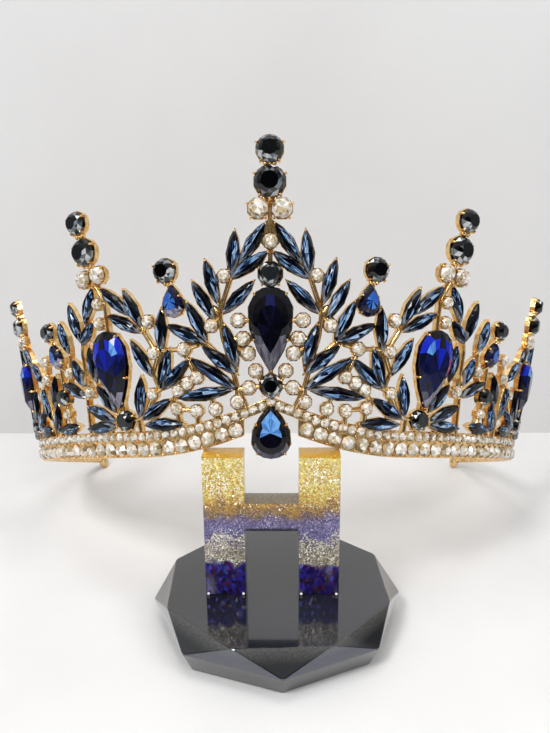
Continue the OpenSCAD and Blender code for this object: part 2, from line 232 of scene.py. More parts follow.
DROP_TONES: Rule = (
    # Grey crescent at the bottom, a painted reflection of the pale slab
    Patch((0.82, 0.86, 0.84), lambda f: f.zone in (Zone.CROWN, Zone.GIRDLE) and f.y < -0.5),
    # Sky blue upper half
    Patch(
        (0.56, 0.6, 0.52, 0.58),
        lambda f: f.zone in (Zone.TABLE, Zone.STAR) and f.y > -0.1 and abs(f.x) < 0.4,
    ),
    Patch((0.03, 0.07, 0.11)),
)

# Angles are in degrees from the middle, heights in millimetres up the plate from the band's
# lower edge, and a lean is that of the upper end away from the middle, in degrees.
# Columns: name, angle, height, diameter
ROUNDS_MIDDLE = (
    ("round_spire_top", 0, 81.8, 6.9),
    ("round_spire_low", 0, 73.4, 8.1),
    ("round_above_teardrop", 0, 49.2, 6.2),
    ("round_below_teardrop", 0, 19.3, 5.8),
)
ROUNDS_SIDE = (
    ("round_inner", 17.1, 51.3, 6.2),
    ("round_side_top", 33.6, 68.6, 6.2),
    ("round_side_low", 32.6, 59.9, 7.4),
    ("round_side_base", 27.6, 10.6, 5.4),
    ("round_outer", 46.8, 39.6, 5.2),
    ("round_outer_base", 44.7, 18.9, 4.8),
    ("round_end_top", 67, 54, 5.2),
    ("round_end_low", 65, 46.4, 6.2),
    ("round_end_base", 64, 11.4, 5),
)
# Columns: name, angle, height, lean, length, width, tip up (1) or down (-1), tones
PEARS_MIDDLE = (
    ("teardrop_middle", 0, 34.5, 0, 22.4, 11.6, -1, MIDDLE_TEARDROP_TONES),
    ("drop_middle", 0, 6.9, 0, 14.3, 10.2, 1, DROP_TONES),
)
PEARS_SIDE = (
    ("pear_inner", 16.1, 43, 3, 8.4, 5.8, 1, PEAR_TONES),
    ("teardrop_side", 29.3, 25.2, 6.6, 22.4, 11.6, -1, SIDE_TEARDROP_TONES),
    ("pear_outer", 44.9, 31.9, 20, 7.4, 5, 1, PEAR_TONES),
    ("teardrop_end", 65, 25.6, 5, 17, 9, -1, SIDE_TEARDROP_TONES),
)
LEAF_W = 3.1
# Columns: angle, height, lean, length
LEAVES_MIDDLE = (
    (2.7, 57.4, -33.5, 11.8), (5.8, 54.7, -6, 11.6), (3.3, 51.5, -55, 11.6), (5.2, 43, -46, 11.6),
    (6.6, 30, 15, 11.4), (9.4, 47.4, 14.5, 11.6), (10.9, 42.6, 28.5, 11.4), (12.2, 37, 26, 11.4),
    (14.2, 33.8, 64, 11.6), (8.6, 26.4, 50, 11.6), (9.6, 22.5, 56, 15.2), (11.5, 17.2, 97, 15.4),
)
LEAVES_SIDE = (
    (18.7, 35.1, -5, 11.4), (18.6, 24.5, -18, 11), (16.5, 22.8, -48, 11.4), (22.9, 27.8, 30.5, 11.6),
    (27.2, 44.4, 48, 12.6), (23.8, 41.9, 25.5, 11.6), (25.8, 38, 62, 12), (33.4, 44.5, -25, 10.4),
    (34.6, 36.6, -42, 7.8), (37.6, 40.1, 17, 12), (34.2, 27.4, 8, 10.4), (31.8, 17.1, 39, 10),
    (33.6, 12.9, 66, 11.8), (34, 8.9, 92, 11.8), (24, 16.8, -7.5, 11.4), (21, 13.3, -61, 10.6),
    (19.6, 9.1, -90, 11.8), (40.5, 20.6, 64, 12), (38.5, 25.4, 25, 9), (41.5, 36.5, 18, 10),
    (47.9, 21, -16, 10), (48.3, 12.5, -14, 9), (44.6, 9.1, -85, 11), (53, 17.6, 22, 11),
    (55.9, 28.4, 50, 11), (61.5, 35, 51, 10.6), (60.4, 17.4, -8, 11.4), (57.9, 13, -60, 10.6),
    (56.6, 9.1, -90, 11.8), (68.2, 16.6, 38, 10.4), (70.2, 12.7, 66, 11.6), (70.6, 8.9, 91, 11.6),
    (71.3, 26.5, 20, 11), (70.4, 37, 16, 11.6), (77.2, 15, 40, 11.6), (79, 9.1, 84, 11.6),
)
# Columns: angle, height, diameter
CLEARS_MIDDLE = (
    (1.8, 66.4, 5.2), (5.25, 36.9, 3.5), (4.5, 32, 3.5), (3.75, 28, 3.5), (2.5, 23.3, 3.4),
    (3.7, 18.7, 3.4), (7.3, 48.9, 3.2), (9.8, 35.7, 3.4), (14.7, 29.6, 3.4), (12.7, 21.8, 3.2),
    (14.5, 20.3, 3.2), (5.8, 14.9, 3.3), (9.7, 13, 3.3), (13.1, 12.6, 3.2),
)
CLEAR_SPIRE = (0, 57.8, 3.6)
CLEARS_SIDE = (
    (16.3, 18.4, 3.2), (16.8, 13.4, 3.2), (20.5, 29.2, 3.2), (21, 37.9, 3.3), (21.4, 17.7, 3),
    (30.2, 52.8, 4.8), (33.6, 52.2, 4.8), (31.2, 44.6, 3.1), (31.3, 38.9, 3.1), (35.9, 19.4, 3.2),
    (44.2, 13.6, 3), (41.4, 26, 3), (50.4, 31.2, 3.2), (51.2, 25.4, 3.2), (55.4, 20.6, 3.2),
    (64, 41, 3.8), (67, 40.8, 3.8), (74.4, 20.4, 3.2),
)
# Stems: runs of points with the columns angle and height
STEM_SPIRE = ((0, 83), (0, 58), (0, 48))
STEM_BELOW = ((0, 23.4), (0, 14))
STEMS_MIDDLE = (
    ((6.3, 48.3), (7.6, 42.2), (8.3, 38.5), (7.9, 32.5), (6.6, 24.5), (5.6, 18.3), (4, 13)),
    ((10.6, 30.8), (6.6, 24.6)), ((9.8, 35.7), (8.3, 38.5), (9.2, 40.6)), ((5.2, 36.9), (2.4, 36.9)),
    ((3.75, 28), (6.2, 30)), ((4.5, 32), (7.8, 31.6)),
    ((2.5, 23.3), (1.2, 19.3), (3.7, 18.7), (5.6, 18.3)),
    ((14.4, 27.4), (12.7, 21.8), (14.5, 20.3), (16.3, 18.4), (17.4, 15.8), (16.8, 13.4), (16.4, 7)),
    ((12.3, 30.6), (14.7, 29.6)), ((9.7, 13), (9.6, 9)), ((9.7, 13), (10.4, 16.2)),
    ((13.1, 12.6), (13, 8)), ((5.8, 14.9), (5.7, 18)), ((12.9, 12.6), (16.8, 13.4)),
)
STEMS_SIDE = (
    ((16.9, 50), (16.3, 45)), ((17, 39.6), (18.4, 40.4)),
    ((19.3, 29.8), (20.4, 30.6), (22.2, 35.6), (22.4, 36.8)),
    ((19.3, 29.8), (20.9, 23.4), (19.9, 18.9), (21.4, 17.7), (23, 12.4), (24.9, 10.8), (27.6, 10.6)),
    ((21, 37.9), (22, 35.4)), ((19.3, 29.8), (14.7, 29.6)),
    ((33.6, 68.6), (32.6, 59.9), (31.2, 49.6), (29.7, 45), (29.6, 35)), ((31.3, 38.9), (29.7, 38.9)),
    ((31.2, 44.6), (29.7, 45)), ((36.3, 34.2), (36.8, 31), (36.6, 24.8), (35.9, 19.4), (37, 17.6)),
    ((35.9, 19.4), (33.4, 20.6)), ((34.6, 23), (36.4, 24)), ((28.1, 15.4), (27.6, 8)),
    ((24.9, 10.8), (24.7, 6.4)), ((37.2, 17.6), (37.6, 6.4)), ((36.6, 24.8), (37.6, 21.8)),
    ((30.2, 9.2), (30, 11.4)), ((41.3, 35.6), (40.6, 32), (41.4, 26), (42.8, 22.4)),
    ((46.8, 39.6), (45.4, 35.4)), ((44.4, 29.4), (44.7, 18.9), (44.2, 13.6), (43.6, 10)),
    ((41.4, 26), (44.4, 28)), ((46.6, 25.4), (44.8, 25)), ((44.7, 18.9), (43.4, 22.6)),
    ((47.6, 16.8), (47.4, 16.2), (49, 6.4)),
    ((50.4, 31.2), (51.2, 25.4), (52.9, 25), (51.4, 12.6), (50.8, 6.4)), ((52.9, 25), (53.4, 24.8)),
    ((50.4, 31.2), (45.6, 31.6)), ((67, 54), (65, 46.4), (65.3, 40), (65.4, 33)),
    ((65.4, 38), (64.6, 39.4)), ((59.4, 32.4), (58.6, 31.6)),
    ((53.3, 24.8), (55.4, 20.6), (57.6, 16.4), (61, 10.4), (64, 11.4)), ((64.6, 18), (64, 6.4)),
    ((61, 10.4), (61, 6.4)), ((66.6, 12.2), (67, 9.4)),
    ((70.2, 20.6), (70, 22.4), (73, 24.6), (74.4, 20.4), (74.4, 14), (73.8, 6.4)),
    ((69.4, 32.4), (70.6, 24.6)), ((66.2, 36), (69.2, 32.4)), ((75.2, 11.4), (75, 8.8), (75.2, 6.4)),
)
# Collars of three beads between stones. Columns: angle, height, distance from bead to bead
COLLARS_MIDDLE = ((0, 77.9, 1.2), (0, 68.8, 1.6))
COLLARS_SIDE = (
    (33.1, 64.5, 1.1), (32.2, 55.8, 1.4), (16.6, 47.7, 0.9),
    (46.2, 36.3, 0.8), (66, 50.4, 0.9), (64.7, 43, 1.2),
)


@dataclass(frozen=True)
class Plate:
    """The tiara's curved metal face, a leaning ring that is tilted back as it rests on the stand."""

    radius: float = 86.5
    flare: float = math.radians(12.5)
    tilt: float = math.radians(24)
    front_y: float = -4.65
    front_z: float = 52.505
    half_arc: float = 113.96
    arch_rise: float = 9.0
    arch_half: float = 25.0
    cup: float = 0.6

    def seat(self, angle: float, height: float, lean: float = 0.0) -> Matrix:
        """Where a stone lies.

        Args:
            angle: degrees from the middle, positive to the right seen from the front.
            height: millimetres up the plate from the band's lower edge.
            lean: degrees by which the upper end leans to the right.

        Returns:
            Matrix from millimetres on the plate (+Z outward, +Y up) to metres in the frame.
        """
        swing = (
            Matrix.Translation((0, self.front_y, self.front_z))
            @ Matrix.Rotation(-self.tilt, 4, "X")
            @ Matrix.Translation((0, self.radius, 0))
            @ Matrix.Rotation(math.radians(angle), 4, "Z")
            @ Matrix.Translation((0, -self.radius, 0))
        )
        rise = Matrix.Rotation(math.pi / 2 + self.flare, 4, "X") @ Matrix.Translation((0, height, 0))
        return Matrix.Scale(MM, 4) @ swing @ rise @ Matrix.Rotation(math.radians(-lean), 4, "Z")

    def point(self, angle: float, height: float, out: float) -> Vector:
        """A point so many millimetres off the plate, in metres in the frame."""
        return self.seat(angle, height) @ Vector((0, 0, out))

    def arch(self, angle: float) -> float:
        """Rise of the band's lower edge at an angle, in millimetres."""
        return self.arch_rise * max(0.0, 1 - abs(angle) / self.arch_half) ** 2

    def march(self, start: float, stop: float, up: float, pitch: float) -> list[float]:
        """Angles of things set side by side along the band.

        Args:
            start: first angle, in degrees.
            stop: angle that isn't passed.
            up: height over the band's lower edge, in millimetres.
            pitch: distance from one to the next, in millimetres.

        Returns:
            The angles.
        """
        angles = [start]
        while angles[-1] < stop:
            here = angles[-1]
            radius = self.radius + (self.arch(here) + up) * math.sin(self.flare)
            step = math.degrees(pitch / radius)
            climb = self.arch(here + step) - self.arch(here)
            angles.append(here + step * pitch / math.hypot(pitch, climb))
        return angles[:-1]


PLATE = Plate()


@dataclass(frozen=True)
class Outline:
    """The outline of a stone and how it is cut, in millimetres."""

    length: float
    width: float
    cut: Cut
    tip: int = 1
    lift: float = 0.2
    tall_share: float = 0.4
    tall_least: float = 0.45
    tall_most: float = 3.6
    pear_peak: float = 0.7698

    @property
    def tall(self) -> float:
        """The usual height of a stone of this width."""
        return min(self.tall_most, self.tall_share * self.width + self.tall_least)

    def at(self, turn: float) -> tuple[float, float]:
        """A point of the outline.

        Args:
            turn: angle from the upward direction, in radians.

        Returns:
            Its place across and up.
        """
        s, c = math.sin(turn), math.cos(turn)
        if self.cut is Cut.LEAF:
            return math.copysign(self.width / 2 * s * s, s), self.length / 2 * c
        if self.cut is Cut.PEAR:
            across = s * abs(math.sin(turn / 2)) / self.pear_peak
            return self.tip * self.width / 2 * across, self.tip * self.length / 2 * c
        return self.width / 2 * s, self.length / 2 * c

    def shaped(self, point: Vector, height: float) -> Vector:
        """Where a point of the unit stone goes in this stone.

        Args:
            point: a point of the unit stone.
            height: this stone's height in millimetres.

        Returns:
            The point in millimetres on the plate.
        """
        share = math.hypot(point.x, point.y)
        x, y = self.at(math.atan2(point.x, point.y))
        return Vector((x * share, y * share, self.lift + point.z * height))

    def grown(self, by: float) -> "Outline":
        """The same outline, wider all round by so many millimetres."""
        return Outline(self.length + 2 * by, self.width + 2 * by, self.cut, self.tip)


@dataclass(frozen=True)
class Stone:
    """One stone, with its place on the plate, its side of the tiara and its lift in millimetres."""

    name: str
    angle: float
    height: float
    lean: float
    outline: Outline
    rule: Rule
    side: int = 0
    lift: float = 0.0

    @property
    def seat(self) -> Matrix:
        """Its place on the plate."""
        return PLATE.seat(self.angle, self.height, self.lean) @ Matrix.Translation((0, 0, self.lift))


def main_stones(part: Part) -> list[Stone]:
    """The stones that are CAD nodes of their own.

    Args:
        part: the part of the tiara.

    Returns:
        Its black rounds, teardrops, pears and drop.
    """
    side = part.value
    sign, ending = (side, part.ending) if side else (1, "")
    rounds, pears = (ROUNDS_SIDE, PEARS_SIDE) if side else (ROUNDS_MIDDLE, PEARS_MIDDLE)
    stones = [
        Stone(name + ending, sign * angle, height, 0, Outline(wide, wide, Cut.ROUND), ROUND_TONES, side)
        for name, angle, height, wide in rounds
    ]
    for name, angle, height, lean, length, wide, tip, tones in pears:
        outline = Outline(length, wide, Cut.PEAR, tip)
        stones.append(Stone(name + ending, sign * angle, height, sign * lean, outline, tones, side))
    return stones


def leaf_stones(part: Part) -> list[Stone]:
    """The leaf stones.

    Args:
        part: the part of the tiara.

    Returns:
        Its leaf stones, those on the left first.
    """
    stones = []
    for side in (part.value,) if part.value else (-1, 1):
        for angle, height, lean, length in LEAVES_SIDE if part.value else LEAVES_MIDDLE:
            outline = Outline(length, LEAF_W, Cut.LEAF)
            stones.append(Stone("leaf", side * angle, height, side * lean, outline, LEAF_TONES, side))
    return stones


def clear_stones(part: Part) -> list[Stone]:
    """The small clear stones.

    Args:
        part: the part of the tiara.

    Returns:
        Its clear stones, those on the left first and the spire's single one last.
    """
    rows = [
        (side, side * angle, height, wide)
        for side in ((part.value,) if part.value else (-1, 1))
        for angle, height, wide in (CLEARS_SIDE if part.value else CLEARS_MIDDLE)
    ]
    if part is Part.MIDDLE:
        rows.append((0, *CLEAR_SPIRE))
    return [
        Stone("clear", angle, height, 0, Outline(wide, wide, Cut.CLEAR), CLEAR_TONES, side)
        for side, angle, height, wide in rows
    ]


def hex_colour(code: str) -> Colour:
    """Turns an sRGB colour into a linear one.

    Args:
        code: the colour as #rrggbb.

    Returns:
        Red, green, blue and alpha, linear.
    """
    shares = [int(code[i : i + 2], 16) / 255 for i in (1, 3, 5)]
    return (*(s / 12.92 if s <= 0.04045 else ((s + 0.055) / 1.055) ** 2.4 for s in shares), 1.0)


def deselect() -> None:
    """Leaves edit mode and selects nothing, as each modelling step expects."""
    if bpy.context.object and bpy.context.object.mode != "OBJECT":
        bpy.ops.object.mode_set(mode="OBJECT")
    bpy.ops.object.select_all(action="DESELECT")


def edit_all() -> None:
    """Goes into edit mode with the whole mesh selected."""
    bpy.ops.object.mode_set(mode="EDIT")
    bpy.ops.mesh.select_all(action="SELECT")


def new_object(name: str, data: bpy.types.ID) -> Object:
    """Puts a mesh, curve, lamp or camera into the scene.

    Args:
        name: the object's name.
        data: what it shows.

    Returns:
        The object, at the origin, unturned and unscaled.
    """
    made = bpy.data.objects.new(name, data)
    bpy.context.scene.collection.objects.link(made)
    return made


def placed_copy(unit: Object, place: Matrix) -> Object:
    """Copies a unit piece.

    Args:
        unit: the piece.
        place: where the copy goes.

    Returns:
        The copy, with its place in its mesh.
    """
    mesh = unit.data.copy()
    mesh.transform(place)
    return new_object(unit.name, mesh)


def join(name: str, parts: Sequence[Object]) -> Object:
    """Joins objects into one.

    Args:
        name: the new piece's name.
        parts: the objects, which are used up.

    Returns:
        The joined object.
    """
    deselect()
    for part in parts:
        part.select_set(True)
    bpy.context.view_layer.objects.active = parts[0]
    bpy.ops.object.join()
    whole = bpy.context.object
    whole.name = name
    whole.data.name = name
    return whole


def wires(
    name: str, runs: Iterable[Sequence[Vector]], radius: float, closed: bool = False, smooth: int = 1
) -> Object:
    """Round wires along runs of points.

    Args:
        name: the piece's name.
        runs: the points of each wire, in metres.
        radius: the wires' radius in millimetres.
        closed: True for rings.
        smooth: steps of roundness.

    Returns:
        One mesh with all the wires.
    """
    curve = bpy.data.curves.new(name, "CURVE")
    curve.dimensions = "3D"
    curve.bevel_depth = radius * MM
    curve.bevel_resolution = smooth
    curve.use_fill_caps = not closed
    for run in runs:
        spline = curve.splines.new("POLY")
        spline.points.add(len(run) - 1)
        for point, place in zip(spline.points, run):
            point.co = (*place, 1.0)
        spline.use_cyclic_u = closed
        spline.use_smooth = True
    deselect()
    made = new_object(name, curve)
    made.select_set(True)
    bpy.context.view_layer.objects.active = made
    bpy.ops.object.convert(target="MESH")
    bpy.ops.object.shade_smooth()
    made = bpy.context.object
    made.data.name = name
    return made


def add_node(
    tree: NodeTree, kind: str, inputs: dict, out: int | str = 0, stops: Stops = (), **settings: str
) -> NodeSocket | None:
    """Adds a shader node with its settings and links.

    Args:
        tree: the tree that it goes into.
        kind: its type, without the leading "ShaderNode".
        inputs: values or sockets by input name or number.
        out: the output that is wanted, by name or number.
        stops: place and sRGB colour of each stop of a colour ramp, in rising order.
        settings: its properties.

    Returns:
        That output's socket, or None for a node without outputs.
    """
    made = tree.nodes.new("ShaderNode" + kind)
    for name, value in settings.items():
        setattr(made, name, value)
    for name, value in inputs.items():
        if isinstance(value, NodeSocket):
            tree.links.new(value, made.inputs[name])
        else:
            made.inputs[name].default_value = value
    if stops:
        elements = made.color_ramp.elements
        elements.remove(elements[1])
        elements[0].position, elements[0].color = stops[0][0], hex_colour(stops[0][1])
        for place, code in stops[1:]:
            elements.new(place).color = hex_colour(code)
    return made.outputs[out] if made.outputs else None


@dataclass(frozen=True, kw_only=True)
class Finish:
    """A material of the real object, with its slot in the record; the stage's have none."""

    name: str
    slot: Slot | None = None
    one_sided: bool = False

    def build(self) -> Material:
        """Makes the material.

        Returns:
            The material, which the camera sees through from behind if it is one-sided.
        """
        material = bpy.data.materials.new(self.name)
        material.use_nodes = True
        tree = material.node_tree
        tree.nodes.clear()
        surface = add_node(tree, "BsdfPrincipled", self.sockets(tree))
        if self.one_sided:
            behind = add_node(tree, "NewGeometry", {}, out="Backfacing")
            nothing = add_node(tree, "BsdfTransparent", {})
            surface = add_node(tree, "MixShader", {0: behind, 1: surface, 2: nothing})
        add_node(tree, "OutputMaterial", {"Surface": surface})
        return material

    def sockets(self, tree: NodeTree) -> dict:
        """The shader's inputs.

        Args:
            tree: the material's node tree.

        Returns:
            Values or sockets by the inputs' names.
        """
        raise NotImplementedError


@dataclass(frozen=True, kw_only=True)
class GemFinish(Finish):
    """Foil-backed crystal in its own colour, whose facets take painted reflections, highlights and glints
    from their tones, a little streaked.
    """

    stops: Stops
    roughness: float = 0.05
    ior: float = 1.5
    streak: float = 0.1
    streaks: tuple[float, float, float] = (5.0, 1.2, 1.0)

    def sockets(self, tree: NodeTree) -> dict:
        """The shader's inputs.

        Args:
            tree: the material's node tree.

        Returns:
            Values or sockets by the inputs' names.
        """
        tone = add_node(tree, "Attribute", {}, out="Fac", attribute_name="tone")
        place = add_node(tree, "UVMap", {}, uv_map="cut")
        spread = add_node(tree, "VectorMath", {0: place, 1: self.streaks}, operation="MULTIPLY")
        noise = add_node(tree, "TexNoise", {"Vector": spread, "Scale": 1.6, "Detail": 2.0, "Roughness": 0.6})
        centred = add_node(tree, "Math", {0: noise, 1: 0.5}, operation="SUBTRACT")
        shifted = add_node(tree, "Math", {0: centred, 1: self.streak * 2, 2: tone}, operation="MULTIPLY_ADD")
        colour = add_node(tree, "ValToRGB", {"Fac": shifted}, stops=self.stops)
        return {"Base Color": colour, "Roughness": self.roughness, "IOR": self.ior}


@dataclass(frozen=True, kw_only=True)
class MottledFinish(Finish):
    """One colour that wanders a little towards a darker shade, in patches of a size."""

    colour: str
    shade: str
    patch: float
    roughness: float
    detail: float = 4.0
    blend: tuple[float, float] = (0.35, 0.65)

    def sockets(self, tree: NodeTree) -> dict:
        """The shader's inputs.

        Args:
            tree: the material's node tree.

        Returns:
            Values or sockets by the inputs' names.
        """
        place = add_node(tree, "TexCoord", {}, out="Object")
        scale = 1 / (self.patch * MM)
        noise = add_node(tree, "TexNoise", {"Vector": place, "Scale": scale, "Detail": self.detail})
        stops = ((self.blend[0], self.shade), (self.blend[1], self.colour))
        colour = add_node(tree, "ValToRGB", {"Fac": noise}, stops=stops)
        return {"Base Color": colour, "Roughness": self.roughness}


@dataclass(frozen=True, kw_only=True)
class GoldFinish(MottledFinish):
    """Cast and polished gold-coloured alloy with a faint grain."""

    grain: float = 0.45
    grain_depth: float = 0.06
    grain_strength: float = 0.35

    def sockets(self, tree: NodeTree) -> dict:
        """The shader's inputs.

        Args:
            tree: the material's node tree.

        Returns:
            Values or sockets by the inputs' names.
        """
        place = add_node(tree, "TexCoord", {}, out="Object")
        scale = 1 / (self.grain * MM)
        grain = add_node(tree, "TexNoise", {"Vector": place, "Scale": scale, "Detail": 2.0})
        depth = {"Strength": self.grain_strength, "Distance": self.grain_depth * MM}
        bump = add_node(tree, "Bump", {"Height": grain, **depth})
        return {**super().sockets(tree), "Metallic": 1.0, "Normal": bump}


@dataclass(frozen=True, kw_only=True)
class ResinFinish(MottledFinish):
    """Cast and polished resin with dust on it, painted reflections on its slanted sides, and scratches that
    dull its slanted edges.
    """

    dust: float = 1.6
    dust_stops: Stops = ((0.02, "#50504c"), (0.075, "#000000"))
    # Painted reflections on the slanted sides, by how far they face upward, from 0 downward to 1
    slopes: Stops = (
        (0.3, "#0e0c0e"), (0.45, "#3f4250"), (0.62, "#3f4250"), (0.72, "#06070a"), (0.9, "#06070a"),
    )
    haze: str = "#7a7a75"
    haze_from: float = 8.8
    haze_to: float = 12.4
    scratch: float = 0.24
    # How far a face looks up where it counts as slanted, and the scratches' limits
    slant: tuple[float, float] = (0.95, 0.8)
    rough: tuple[float, float] = (0.3, 0.8)
    coat_roughness: float = 0.05

    def sockets(self, tree: NodeTree) -> dict:
        """The shader's inputs.

        Args:
            tree: the material's node tree.

        Returns:
            Values or sockets by the inputs' names.
        """
        sockets = super().sockets(tree)
        place = add_node(tree, "TexCoord", {}, out="Object")
        scale = 1 / (self.dust * MM)
        specks = add_node(tree, "TexVoronoi", {"Vector": place, "Scale": scale}, out="Distance")
        dust = add_node(tree, "ValToRGB", {"Fac": specks}, stops=self.dust_stops)
        both = {0: 1.0, 6: sockets["Base Color"], 7: dust}
        dusty = add_node(tree, "Mix", both, out=2, data_type="RGBA", blend_type="ADD")
        # Painted reflections take the place of the dusty colour on the slanted sides
        facing = add_node(tree, "NewGeometry", {}, out="Normal")
        upward = add_node(tree, "SeparateXYZ", {"Vector": facing}, out="Z")
        turned = add_node(tree, "MapRange", {0: upward, 1: -1.0, 2: 1.0})
        painted_reflection = add_node(tree, "ValToRGB", {"Fac": turned}, stops=self.slopes)
        slanted = add_node(tree, "MapRange", {0: upward, 1: self.slant[0], 2: self.slant[1]})
        sides = add_node(tree, "Mix", {0: slanted, 6: dusty, 7: painted_reflection}, out=2, data_type="RGBA")
        rise = add_node(tree, "SeparateXYZ", {"Vector": place}, out="Z")
        climb = add_node(tree, "MapRange", {0: rise, 1: self.haze_from * MM, 2: self.haze_to * MM})
        scale = 1 / (self.scratch * MM)
        fine = add_node(tree, "TexNoise", {"Vector": place, "Scale": scale, "Detail": 5.0})
        rough = add_node(tree, "MapRange", {0: fine, 1: self.rough[0], 2: self.rough[1]})
        edge = add_node(tree, "Math", {0: climb, 1: slanted}, operation="MULTIPLY")
        share = add_node(tree, "Math", {0: edge, 1: rough}, operation="MULTIPLY")
        dull = {0: share, 6: sides, 7: hex_colour(self.haze)}
        sockets["Base Color"] = add_node(tree, "Mix", dull, out=2, data_type="RGBA")
        return {**sockets, "Coat Weight": 1.0, "Coat Roughness": self.coat_roughness}


@dataclass(frozen=True, kw_only=True)
class GlitterFinish(Finish):
    """Clear resin cast in layers over glitter, flakes and crushed stone.

    The layers lie between two levels. The gap between the posts and the crossbar's lower edge
    are for the painted dark line there, which stands for the dark base seen through the resin.
    A ramp runs over the layers, from the lowest up.
    """

    low: float
    high: float
    gap: float
    bar: float
    body: Stops = (
        (0.0, "#1a0c48"), (0.215, "#2a1a66"), (0.25, "#a2987e"), (0.385, "#aca28a"),
        (0.44, "#66629a"), (0.56, "#6b6590"), (0.6, "#80694e"), (0.65, "#a8833c"),
        (0.69, "#c49a34"), (0.74, "#d6bd54"), (0.97, "#e6d26a"),
    )
    # Bright, dark and sparkling flakes, the sparkling ones near white for painted sparkle. Columns: channel
    # of their lot, where it cuts, softness, ramp
    flakes: tuple[tuple[str, float, float, Stops], ...] = (
        ("Red", 0.6, 0.24, (
            (0.0, "#3a3cc8"), (0.225, "#8c88b8"), (0.26, "#f2ecd8"), (0.4, "#e8e0cc"),
            (0.46, "#8d87b6"), (0.55, "#9488ac"), (0.6, "#b2946a"), (0.65, "#cca052"),
            (0.72, "#fff3a8"), (0.97, "#fffbd2"),
        )),
        ("Green", 0.66, 0.2, (
            (0.0, "#2c0f52"), (0.26, "#948a70"), (0.4, "#5c568e"), (0.58, "#54497c"),
            (0.64, "#7c563c"), (0.7, "#c08420"), (0.97, "#d2a434"),
        )),
        ("Blue", 0.93, 0.01, (
            (0.0, "#8f9cf6"), (0.26, "#fffdf2"), (0.4, "#f2ecdf"), (0.5, "#a9a2cc"),
            (0.62, "#e2c694"), (0.72, "#fffef0"),
        )),
    )
    # Crushed stone, by lot
    crushed: Stops = (
        (0.0, "#0e0428"), (0.22, "#1e0a60"), (0.4, "#2e128c"), (0.56, "#2c2cb0"), (0.64, "#441478"),
        (0.74, "#150638"), (0.86, "#74145e"), (0.88, "#5f70dc"), (0.92, "#200e70"),
    )
    crown: str = "#d0a02a"
    # Painted shade of faces that look up
    sill: str = "#77694f"
    # Painted dark line along the crossbar's lower edge
    shadow: str = "#1d1838"
    wave: float = 20 / 3
    sway: float = 11.5
    cluster: float = 0.9
    flake: float = 0.34
    gravel: float = 0.85
    gravel_squeeze: tuple[float, float, float] = (1.0, 1.0, 0.7)
    gravel_top: float = 0.225
    gravel_blend: float = 0.012
    # Where the painted shade, the painted dark line and the plain amber set in: by how far a face
    # looks up, and in millimetres inside the posts, over the crossbar's lower edge and under the top
    ledge: tuple[float, float] = (0.6, 0.95)
    inward: tuple[float, float] = (0.1, 0.3)
    over_bar: tuple[float, float] = (1.1, 0.7)
    under_top: tuple[float, float] = (0.4, 0.2)
    half: tuple[float, float, float] = (0.5, 0.5, 0.5)
    tip: tuple[float, float, float] = (0.9, 0.9, 0.9)
    roughness: float = 0.3
    metallic: float = 0.35
    coat: float = 0.7
    coat_roughness: float = 0.16

    def sockets(self, tree: NodeTree) -> dict:
        """The shader's inputs.

        Args:
            tree: the material's node tree.

        Returns:
            Values or sockets by the inputs' names.
        """
        place = add_node(tree, "TexCoord", {}, out="Object")
        axes = add_node(tree, "SeparateXYZ", {"Vector": place}).node.outputs
        facing = add_node(tree, "NewGeometry", {}, out="Normal")
        # The layers sway, and flakes lie closer together in some places than in others
        wave = add_node(tree, "TexNoise", {"Vector": place, "Scale": 1 / (self.wave * MM), "Detail": 5.0})
        swayed = add_node(tree, "Math", {0: wave, 1: self.sway * MM, 2: axes["Z"]}, operation="MULTIPLY_ADD")
        ends = {1: (self.low + self.sway / 2) * MM, 2: (self.high + self.sway / 2) * MM}
        level = add_node(tree, "MapRange", {0: swayed, **ends})
        flakes = add_node(tree, "TexVoronoi", {"Vector": place, "Scale": 1 / (self.flake * MM)}, out="Color")
        lot = add_node(tree, "SeparateColor", {"Color": flakes}).node.outputs
        colour = add_node(tree, "ValToRGB", {"Fac": level}, stops=self.body)
        for channel, cut, soft, stops in self.flakes:
            limit = {0: wave, 1: -self.cluster, 2: self.cluster / 2 - cut}
            over = add_node(
                tree, "Math", {0: lot[channel], 1: add_node(tree, "Math", limit, operation="MULTIPLY_ADD")}
            )
            share = add_node(tree, "MapRange", {0: over, 1: -soft, 2: soft})
            ramp = add_node(tree, "ValToRGB", {"Fac": level}, stops=stops)
            colour = add_node(tree, "Mix", {0: share, 6: colour, 7: ramp}, out=2, data_type="RGBA")
        # Crushed stone, in pieces taller than they are wide
        squeezed = add_node(tree, "VectorMath", {0: place, 1: self.gravel_squeeze}, operation="MULTIPLY")
        scale = 1 / (self.gravel * MM)
        gravel = add_node(tree, "TexVoronoi", {"Vector": squeezed, "Scale": scale}, out="Color")
        gravel_lot = add_node(tree, "SeparateColor", {"Color": gravel}, out="Red")
        pieces = add_node(tree, "ValToRGB", {"Fac": gravel_lot}, stops=self.crushed)
        ends = {1: self.gravel_top + self.gravel_blend, 2: self.gravel_top - self.gravel_blend}
        below = add_node(tree, "MapRange", {0: level, **ends})
        colour = add_node(tree, "Mix", {0: below, 6: colour, 7: pieces}, out=2, data_type="RGBA")
